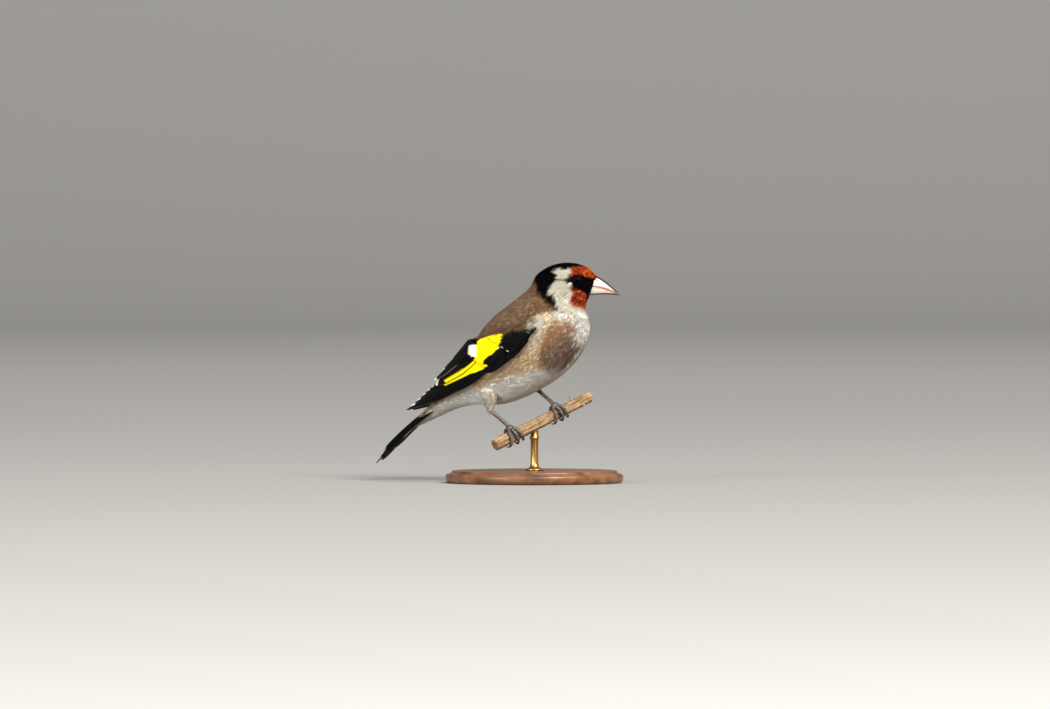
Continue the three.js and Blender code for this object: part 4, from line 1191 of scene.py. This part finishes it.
def stem_point(along, degrees, radius):
    """Points along the stem's middle line, round it from above it, and out from it."""
    a = np.radians(degrees)
    along, a, radius = np.broadcast_arrays(np.asarray(along, float), a, radius)
    return (
        PERCH_MIDDLE
        + along[..., None] * STEM_ALONG
        + (radius * np.cos(a))[..., None] * STEM_UP
        + (radius * np.sin(a))[..., None] * STEM_AHEAD
    )


def stem_radius(along):
    return PERCH_RADIUS - STEM_TAPER * along


def stem():
    """The cut stem: ribbed, with a shallow pith at its ends, and its spines."""
    along = np.concatenate([[STEM_FROM] * 3, np.linspace(STEM_FROM, STEM_TO, 120), [STEM_TO] * 3])
    shares = np.concatenate([[0.35, 0.45, 0.94], np.ones(120), [0.94, 0.45, 0.35]])
    sink = np.concatenate([[0.5, 0.1, -0.15], np.zeros(120), [0.15, -0.1, -0.5]])
    angle = np.arange(0, 360, 360 / 84)
    rings = []
    for a, share, deep in zip(along, shares, sink):
        rib = STEM_RIB * np.cos(np.radians(angle * STEM_RIBS + 1.2 * a))
        knot = 0.05 * np.sin(0.7 * a + np.radians(angle) * 2) + 0.04 * np.sin(2.3 * a)
        rings.append(stem_point(a + deep, angle, (stem_radius(a) + rib + knot) * share))
    pieces = [loft("stem_body", rings)]
    f = np.linspace(0, 1, 9)
    for start, turn, length in SPINES:
        path = stem_point(start + 1.0 * f, turn, PERCH_RADIUS - 0.6 + (length + 0.6) * f)
        pieces.append(loft("spine", tube(path, 0.06 + 0.62 * (1 - f) ** 1.5, 10, up=(0.3, 0.2, 1))))
    out = joined("perch_stem", pieces)

    # The map that its fibres follow: along the stem and round it
    co = np.empty(len(out.data.vertices) * 3)
    out.data.vertices.foreach_get("co", co)
    co = co.reshape(-1, 3) / MM - PERCH_MIDDLE
    round_it = np.arctan2(co @ STEM_AHEAD, co @ STEM_UP) * PERCH_RADIUS
    corners = np.empty(len(out.data.loops), np.int32)
    out.data.loops.foreach_get("vertex_index", corners)
    fibres = np.stack([co @ STEM_ALONG * 0.12, round_it * 2.0], -1)[corners]
    out.data.uv_layers.new(name="fibres").data.foreach_set("uv", fibres.astype(np.float32).ravel())
    return rounded(out)


TOES = {
    "hallux": {
        "turn": -1, "spread": -0.1, "fan": -0.17, "radius": 0.72,
        "length": 5.8, "joints": 2, "claw": 3.6,
    },
    "inner": {
        "turn": 1, "spread": -1.4, "fan": -0.24, "radius": 0.64,
        "length": 6.4, "joints": 2, "claw": 2.9,
    },
    "middle": {
        "turn": 1, "spread": 0.1, "fan": 0.09, "radius": 0.68,
        "length": 8.4, "joints": 3, "claw": 3.2,
    },
    "outer": {
        "turn": 1, "spread": 1.6, "fan": 0.26, "radius": 0.62,
        "length": 6.8, "joints": 3, "claw": 2.9,
    },
}
TOE_START = 8  # degrees round the stem
PAD_RADIUS = 1.15
SKIN_GRAIN = 0.09


def toe_point(leg, toe, distance, radius):
    """Points of a toe's middle line, a distance from its root round the stem."""
    ring = stem_radius(leg["place"]) + STEM_RIB + GRIP_GAP + radius
    angle = toe["turn"] * (TOE_START + np.degrees(distance / ring))
    return stem_point(leg["place"] + toe["spread"] + toe["fan"] * distance, angle, ring)


def toe_mesh(leg, toe):
    """A toe with its scutes as steps along its back and a pad under each joint."""
    f = np.linspace(0, 1, 90)
    path = toe_point(leg, toe, toe["length"] * f, toe["radius"])
    step = 0.08 * (1 - (f * 1.4 * toe["length"]) % 1.0)
    pads = 0.08 * np.cos(2 * np.pi * toe["joints"] * f)
    radii = toe["radius"] * (0.98 - 0.26 * f + pads) + step
    return loft("toe", tube(path, radii, 20, up=STEM_ALONG))


def foot(side_name):
    """A shank with its scutes, a pad on the stem and four toes, as one skin."""
    leg = LEGS[side_name]
    pad = stem_point(leg["place"], 0, stem_radius(leg["place"]) + STEM_RIB + GRIP_GAP + PAD_RADIUS)
    f = np.linspace(-0.06, 1, 110)
    path = mix(np.array(leg["heel"]), pad, f[:, None])
    base = np.interp(f, [0, 0.15, 0.4, 0.7, 0.88, 1], [1.02, 0.84, 0.7, 0.7, 0.8, 1.02])
    step = 0.12 * (1 - (f * 11) % 1.0)
    ring = hoop(0, 1, STEM_UP, STEM_AHEAD, 24)
    ball = []
    for polar in np.linspace(0, np.pi, 18)[1:-1]:
        ball.append(pad + PAD_RADIUS * (math.cos(polar) * STEM_ALONG * 1.25 + math.sin(polar) * ring))
    pieces = [loft("shank", tube(path, base + step, 24)), loft("pad", ball)]
    pieces += [toe_mesh(leg, toe) for toe in TOES.values()]
    out = joined("foot_" + side_name + "_scaled", pieces)
    remesh = out.modifiers.new("one_skin", "REMESH")
    remesh.mode = "VOXEL"
    remesh.voxel_size = SKIN_GRAIN * MM
    remesh.use_smooth_shade = True
    return applied(out)


def claw(side_name, toe_name):
    """A claw that runs on from its toe and thins to a point."""
    toe = TOES[toe_name]
    f = np.linspace(0, 1, 28)
    distance = toe["length"] - 0.35 + (toe["claw"] + GRIP_GAP + 0.3) * f
    path = toe_point(LEGS[side_name], toe, distance, toe["radius"] * (1 - 0.35 * f))
    radii = 0.5 * (1 - f**1.35) + 0.05
    return loft("claw_" + side_name + "_" + toe_name + "_horn", tube(path, radii, 16, up=STEM_ALONG))


# Stand: outlines as (radius, height), from the bottom up
BASE_TOP = 5.0
ROD_TOP = 21.4


def lathed(name, outline, sides):
    """A turned piece from its outline."""
    x, y = np.eye(3)[:2]
    return loft(name, [hoop(height * UP, radius, x, y, sides) for radius, height in outline])


def rounding(radius, height, size, count):
    """An outline's quarter round about a centre."""
    angles = np.linspace(0, np.pi / 2, count)
    return [(radius + size * math.cos(a), height + size * math.sin(a)) for a in angles]


def turned_base():
    """A turned base with an eased edge and a bead, inside the solid's own outline."""
    outline = [(0.01, 0), (34.6, 0), (35.3, 0.25), (35.8, 0.8), (36.0, 1.6), (36.0, 2.5)]
    outline += rounding(34.9, 2.7, 1.1, 10)
    outline += [(34.3, 3.84), (33.9, 4.1), (33.6, 4.5)]
    outline += rounding(33.0, 4.5, 0.5, 6)
    outline += [(20, BASE_TOP), (0.01, BASE_TOP)]
    return lathed("turned_base", outline, 160)


def stand_rod():
    """The rod that holds the stem, with a flange on the base and a slim collar under the stem."""
    flange = [(0.3, 0), (3.6, 0), (3.9, 0.25), (3.8, 0.6), (3.2, 0.9), (2.1, 1.3), (1.75, 2.1), (1.6, 3.2)]
    outline = [(radius, BASE_TOP + height) for radius, height in flange]
    outline += [(1.6, 17.6), (1.9, 17.9), (2.05, 18.3), (1.9, 18.7), (1.6, 19.0)]
    outline += [(1.6, ROD_TOP - 0.2), (0.3, ROD_TOP)]
    return lathed("brass_rod", outline, 64)


# Assemble
place_piece(body_skin(), "down", "body_plumage", "head", "neck", "trunk", "thigh_left", "thigh_right")

for side_name in SIDES:
    place_piece(wing(side_name), "vanes", "flight_feathers", "wing_" + side_name)
    place_piece(wing_arm(side_name), "vanes", "flight_feathers")
    place_piece(eye(side_name), "eye", "eye", "eye_" + side_name)
    place_piece(eyelids(side_name), "lid", "head_plumage")
    place_piece(foot(side_name), "leg", "leg_scales", "foot_" + side_name)
    for toe_name in TOES:
        place_piece(claw(side_name, toe_name), "claw", "claw", "claw_" + side_name + "_" + toe_name)
place_piece(tail(), "vanes", "flight_feathers", "tail")
place_piece(bill_half("bill_upper_horn", True), "bill", "bill", "bill_upper")
place_piece(bill_half("bill_lower_horn", False), "bill", "bill", "bill_lower")
place_piece(stem(), "stem", "stem", "perch")
place_piece(turned_base(), "wood", "stand_wood", "stand_base")
place_piece(stand_rod(), "brass", "stand_metal", "stand_rod")


def uncovered(t, angle):
    return ~under_wing(body(t, angle))


def away_from_eyes(t, angle):
    u, _, w = in_head(body(t, angle))
    return np.hypot(u - EYE_PLACE[0] + 0.5, (w - EYE_PLACE[1]) / 0.95) > LID_RADIUS + 0.55


def head_spacing(t, angle):
    return mix(0.36, 0.6, ease((t - 0.5) / 6))


def on_skin(t, angle):
    """Places on the bake's map, the skin laid flat: round the body across, bill to tail up."""
    return (angle / (2 * np.pi)) % 1.0, np.clip(t / LAST, 0, 1)


def coat(name, surface, t, angle, length, width, lift, barbs, half, colour_at=marked, turn=0.0,
         depth=COAT_DEPTH, map_place=None, seed=3, slot="body_plumage"):
    """A set of small feathers, in as many pieces as their number asks for."""
    count = len(t)
    map_u, map_v = on_skin(t, angle) if map_place is None else map_place
    values = (t, angle, map_u, map_v, length, width, lift, half, turn, depth)
    columns = [np.broadcast_to(np.asarray(v, float), count)[:, None] for v in values]
    pieces = math.ceil(count * barbs / MOST_BARBS)
    for number in range(pieces):
        part = slice(number * count // pieces, (number + 1) * count // pieces)
        piece_name = name if pieces == 1 else name + "_" + "abcdefgh"[number]
        own = [column[part] for column in columns]
        place_piece(barb_mesh(piece_name, surface, barbs, colour_at, seed + number, *own), "plumage", slot)


# Head feathers, smallest at the bill
t, angle = scattered(body, (0.02, 7.4), head_spacing, 101, away_from_eyes)
length = mix(1.1, 3.4, ease(t / 7)) * rng.uniform(0.85, 1.15, len(t))
coat("head_feathers", body, t, angle, length, 0.34 * length, mix(0.05, 0.14, ease(t / 3)), 9,
     mix(0.042, 0.075, ease(t / 7)), turn=rng.normal(0, 0.12, len(t)),
     depth=mix(0.3, COAT_DEPTH, ease(t / 2.5)), slot="head_plumage", seed=31)

# Body feathers from the neck to the tail, raised where they lie over a thigh
BODY_SPANS = {"neck": (7.4, 9.5), "breast": (9.5, 12), "belly": (12, 14.8), "rump": (14.8, 19)}
for name, span in BODY_SPANS.items():
    t, angle = scattered(body, span, 1.0, 200 + len(name), uncovered)
    length = mix(3.4, 5.4, ease((t - 7.4) / 4)) + 0.8 * ease((t - 12) / 3)
    length = length + 1.0 * ease((t - 15.5) / 1.5) - 2.2 * ease((t - 17.8) / 1.2)
    length = length * rng.uniform(0.85, 1.15, len(t))
    lift = 0.1
    for leg in LEGS.values():
        from_knee = np.linalg.norm(body(t, angle) - np.array(leg["knee"]) - (2.5, 0, 1.0), axis=-1)
        lift = lift + 1.7 * np.exp(-((from_knee / 4.5) ** 2))
    coat(name + "_feathers", body, t, angle, length, 0.3 * length, lift, 18, 0.085,
         turn=rng.normal(0, 0.1, len(t)), seed=40 + len(name))

# Bristles that hide the bill's seam, pointing along the bill
BILL_LENGTH = 11.5
BRISTLES = 330


def bill_base(t, angle, grow=0.0):
    """The bill's base carried on towards its tip, t in millimetres."""
    t, angle, grow = np.broadcast_arrays(np.asarray(t, float), angle, grow)
    share = np.clip((t - 0.4) / BILL_LENGTH, -0.1, 0.9)[..., None]
    tip = head_point(BILL_TIP[0], 0, BILL_TIP[1])
    return mix(body(np.zeros(t.shape), angle, 0.15 + grow), tip, share)


draw = np.random.default_rng(71)
t = draw.uniform(-0.6, 0.0, BRISTLES)
angle = draw.uniform(0, 2 * np.pi, BRISTLES)
length = 0.75 + 1.3 * np.maximum(np.cos(angle), 0) ** 2 * draw.uniform(0.5, 1, BRISTLES)
coat("bill_bristles", bill_base, t, angle, length, 0.3 * length, 0.05, 6, 0.045,
     turn=draw.normal(0, 0.25, BRISTLES), depth=0.35, map_place=on_skin(0 * t, angle),
     slot="head_plumage", seed=72)


# Body feathers that lie over the folded wings
def wing_cover(side, base):
    """A folded wing's upper side, t running back along it in millimetres.

    It dips into the body in front of the wing and below it.
    """

    def surface(t, angle, grow=0.0):
        along = -np.asarray(t, float)
        degrees = np.degrees(angle)
        height = base - 4.6 * ease((along - 24.5) / 6.5) - 1.1 * ease((4 - along) / 8)
        height = height - 0.16 * np.maximum(degrees - 90, 0)
        return bed_point(side, along, degrees, height + grow)

    return surface


def over_wing(name, side, base, tip_along, tip_angle, aside, length, lift, barbs, half, colour_at,
              turn, depth, seed):
    """A set of feathers placed by where their tips lie, their roots some degrees aside of them."""
    cover_map = on_skin(9 + (24 - tip_along) / 6, side * np.radians(tip_angle))
    coat(name, wing_cover(side, base), -(tip_along + length), np.radians(tip_angle + aside), length,
         0.3 * length, lift, barbs, half, colour_at, turn, depth, cover_map, seed)


def back_colour(points, wander):
    """Brown of the scapulars, uneven as on the bird's back."""
    streak = ripple(points * np.array([0.45, 1, 1]), 2.0, 1)
    share = np.clip(0.45 + 0.4 * streak + 0.15 * wander[..., 0], 0, 1)[..., None]
    return mix(DARK_BROWN, mix(BROWN, NECK_BROWN, 0.4), share)


def fluff_colour(points, wander):
    """Cream and white, by chance."""
    return mix(CREAM, WHITE, np.clip(0.6 + 0.4 * wander[..., :1], 0, 1))


def flank_colour(points, wander):
    """Tawny that pales towards the breast."""
    a, _, b = in_body(points)
    share = np.clip(0.35 + 0.4 * wander[..., :1] + ease((a - 12) / 8)[..., None], 0, 1)
    return mix(mix(TAWNY, BUFF, 0.6), mix(CREAM, WHITE, 0.3), share)


SCAPULARS, FLUFFS, FLANKS = 420, 110, 170
for side_name, side in SIDES.items():
    draw = np.random.default_rng(80 + side)

    # Scapulars over the wing's upper edge: their tips follow the shoulder line
    tip_along = draw.uniform(-6.5, 23, SCAPULARS)
    edge = shoulder_line(tip_along) + 12 * ease((3 - tip_along) / 8)
    tip_angle = edge + draw.uniform(-17, 2.5, SCAPULARS)
    tip_along, tip_angle = tip_along[tip_angle > 9], tip_angle[tip_angle > 9]
    length = draw.uniform(5, 7, len(tip_along))
    over_wing("scapulars_" + side_name, side, 2.35, tip_along, tip_angle, -1, length, 0.35, 16, 0.085,
              back_colour, draw.normal(0.02, 0.08, len(tip_along)), 1.6, 82)

    # Loose pale feathers of the breast side over the wing's front
    tip_along = draw.uniform(17.8, 25.5, FLUFFS)
    length = draw.uniform(5.5, 7.5, FLUFFS)
    tip_angle = mix(74, 100, draw.uniform(0, 1, FLUFFS))
    tip_along = tip_along + 0.12 * np.abs(tip_angle - 84)
    over_wing("breast_side_fluff_" + side_name, side, 2.35, tip_along, tip_angle, 0, length, 0.7, 9, 0.055,
              fluff_colour, draw.normal(0.05, 0.3, FLUFFS), 2.6, 84)

    # Flank feathers along the wing's lower edge
    tip_along = draw.uniform(-9, 19, FLANKS)
    length = draw.uniform(5, 7, FLANKS)
    low = smooth([98, 102, 98, 93, 90], np.clip((20 - tip_along) / 8, 0, 4))
    tip_angle = low + draw.uniform(0, 9, FLANKS)
    over_wing("flank_feathers_" + side_name, side, 1.5, tip_along, tip_angle, 3, length, 0.05, 14, 0.08,
              flank_colour, draw.normal(-0.03, 0.08, FLANKS), 1.6, 86)

    # Thigh feathers
    surface = thigh_surface(side_name)
    t, angle = scattered(surface, (0.6, 3.95), 0.62, 300 + side)
    thigh_map = on_skin(12 + t, side * (2.4 + 0.1 * np.cos(angle)))
    coat("thigh_feathers_" + side_name, surface, t, angle, mix(4.2, 2.6, t / 4), mix(1.0, 0.5, t / 4), 0.22,
         14, 0.045, fluff_colour, draw.normal(0, 0.18, len(t)), 0.5, thigh_map, 88)

# Floor, light and camera: angles in degrees round from the front and up
CAMERA_AZIMUTH = 20
CAMERA_ELEVATION = 1.0
AIM = Vector((-3.6, -1.3, 52.0)) * MM
LENS = 400
SENSOR = 36
FRAME_WIDTH = 0.42525  # metres across the picture where the bird stands
FLOOR_HALF = 6000
WALL_AT, WALL_TOP, WALL_CURVE = 5600, 5000, 1400

outline = [(-FLOOR_HALF * 2, 0), (WALL_AT - WALL_CURVE, 0)]
for a in np.linspace(0.08, math.pi / 2, 20):
    outline.append((WALL_AT - WALL_CURVE + WALL_CURVE * math.sin(a), WALL_CURVE - WALL_CURVE * math.cos(a)))
outline.append((WALL_AT, WALL_TOP))
facing = Matrix.Rotation(math.radians(CAMERA_AZIMUTH), 3, "Z")
points = [list(facing @ Vector((x, y, z))) for y, z in outline for x in (-FLOOR_HALF, FLOOR_HALF)]
faces = [(2 * i, 2 * i + 1, 2 * i + 3, 2 * i + 2) for i in range(len(outline) - 1)]
backdrop = new_mesh("backdrop", points, faces)
backdrop.data.materials.append(MATERIALS["floor"])

scene = bpy.context.scene
world = bpy.data.worlds.new("studio")
world.use_nodes = True
world.node_tree.nodes["Background"].inputs["Color"].default_value = (0.93, 0.96, 1.0, 1)
world.node_tree.nodes["Background"].inputs["Strength"].default_value = 0.5
scene.world = world


def stand_off(name, data, azimuth, elevation, distance, aim):
    """A light or a camera that looks at its aim from a distance."""
    obj = bpy.data.objects.new(name, data)
    scene.collection.objects.link(obj)
    a, e = math.radians(azimuth), math.radians(elevation)
    away = Vector((math.sin(a) * math.cos(e), -math.cos(a) * math.cos(e), math.sin(e)))
    obj.location = aim + distance * away
    obj.rotation_euler = (-away).to_track_quat("-Z", "Y").to_euler()
    return obj


def softbox(name, azimuth, elevation, distance, size, power, colour=(1, 1, 1), aim=(0, 0, 0.055)):
    """An area light aimed at the bird or another place."""
    light = bpy.data.lights.new(name, "AREA")
    light.size = size
    light.energy = power
    light.color = colour
    stand_off(name, light, azimuth, elevation, distance, Vector(aim))


softbox("key", 52, 34, 4.6, 1.6, 341, (1, 0.97, 0.93))
softbox("fill", -24, 11, 3.5, 1.2, 76, (0.95, 0.98, 1))
softbox("top", 20, 82, 3.0, 2.2, 34)
softbox("eye_light", 24, 13, 2.6, 0.12, 8)
softbox("wall", 30, 48, 3.0, 3.5, 34, (1, 0.98, 0.95), (-1.6, 4.6, 0.4))

lens = bpy.data.cameras.new("camera")
lens.lens = LENS
lens.sensor_width = SENSOR
lens.clip_end = 30
scene.camera = stand_off("camera", lens, CAMERA_AZIMUTH, CAMERA_ELEVATION, FRAME_WIDTH * LENS / SENSOR, AIM)
scene.view_settings.view_transform = "Standard"
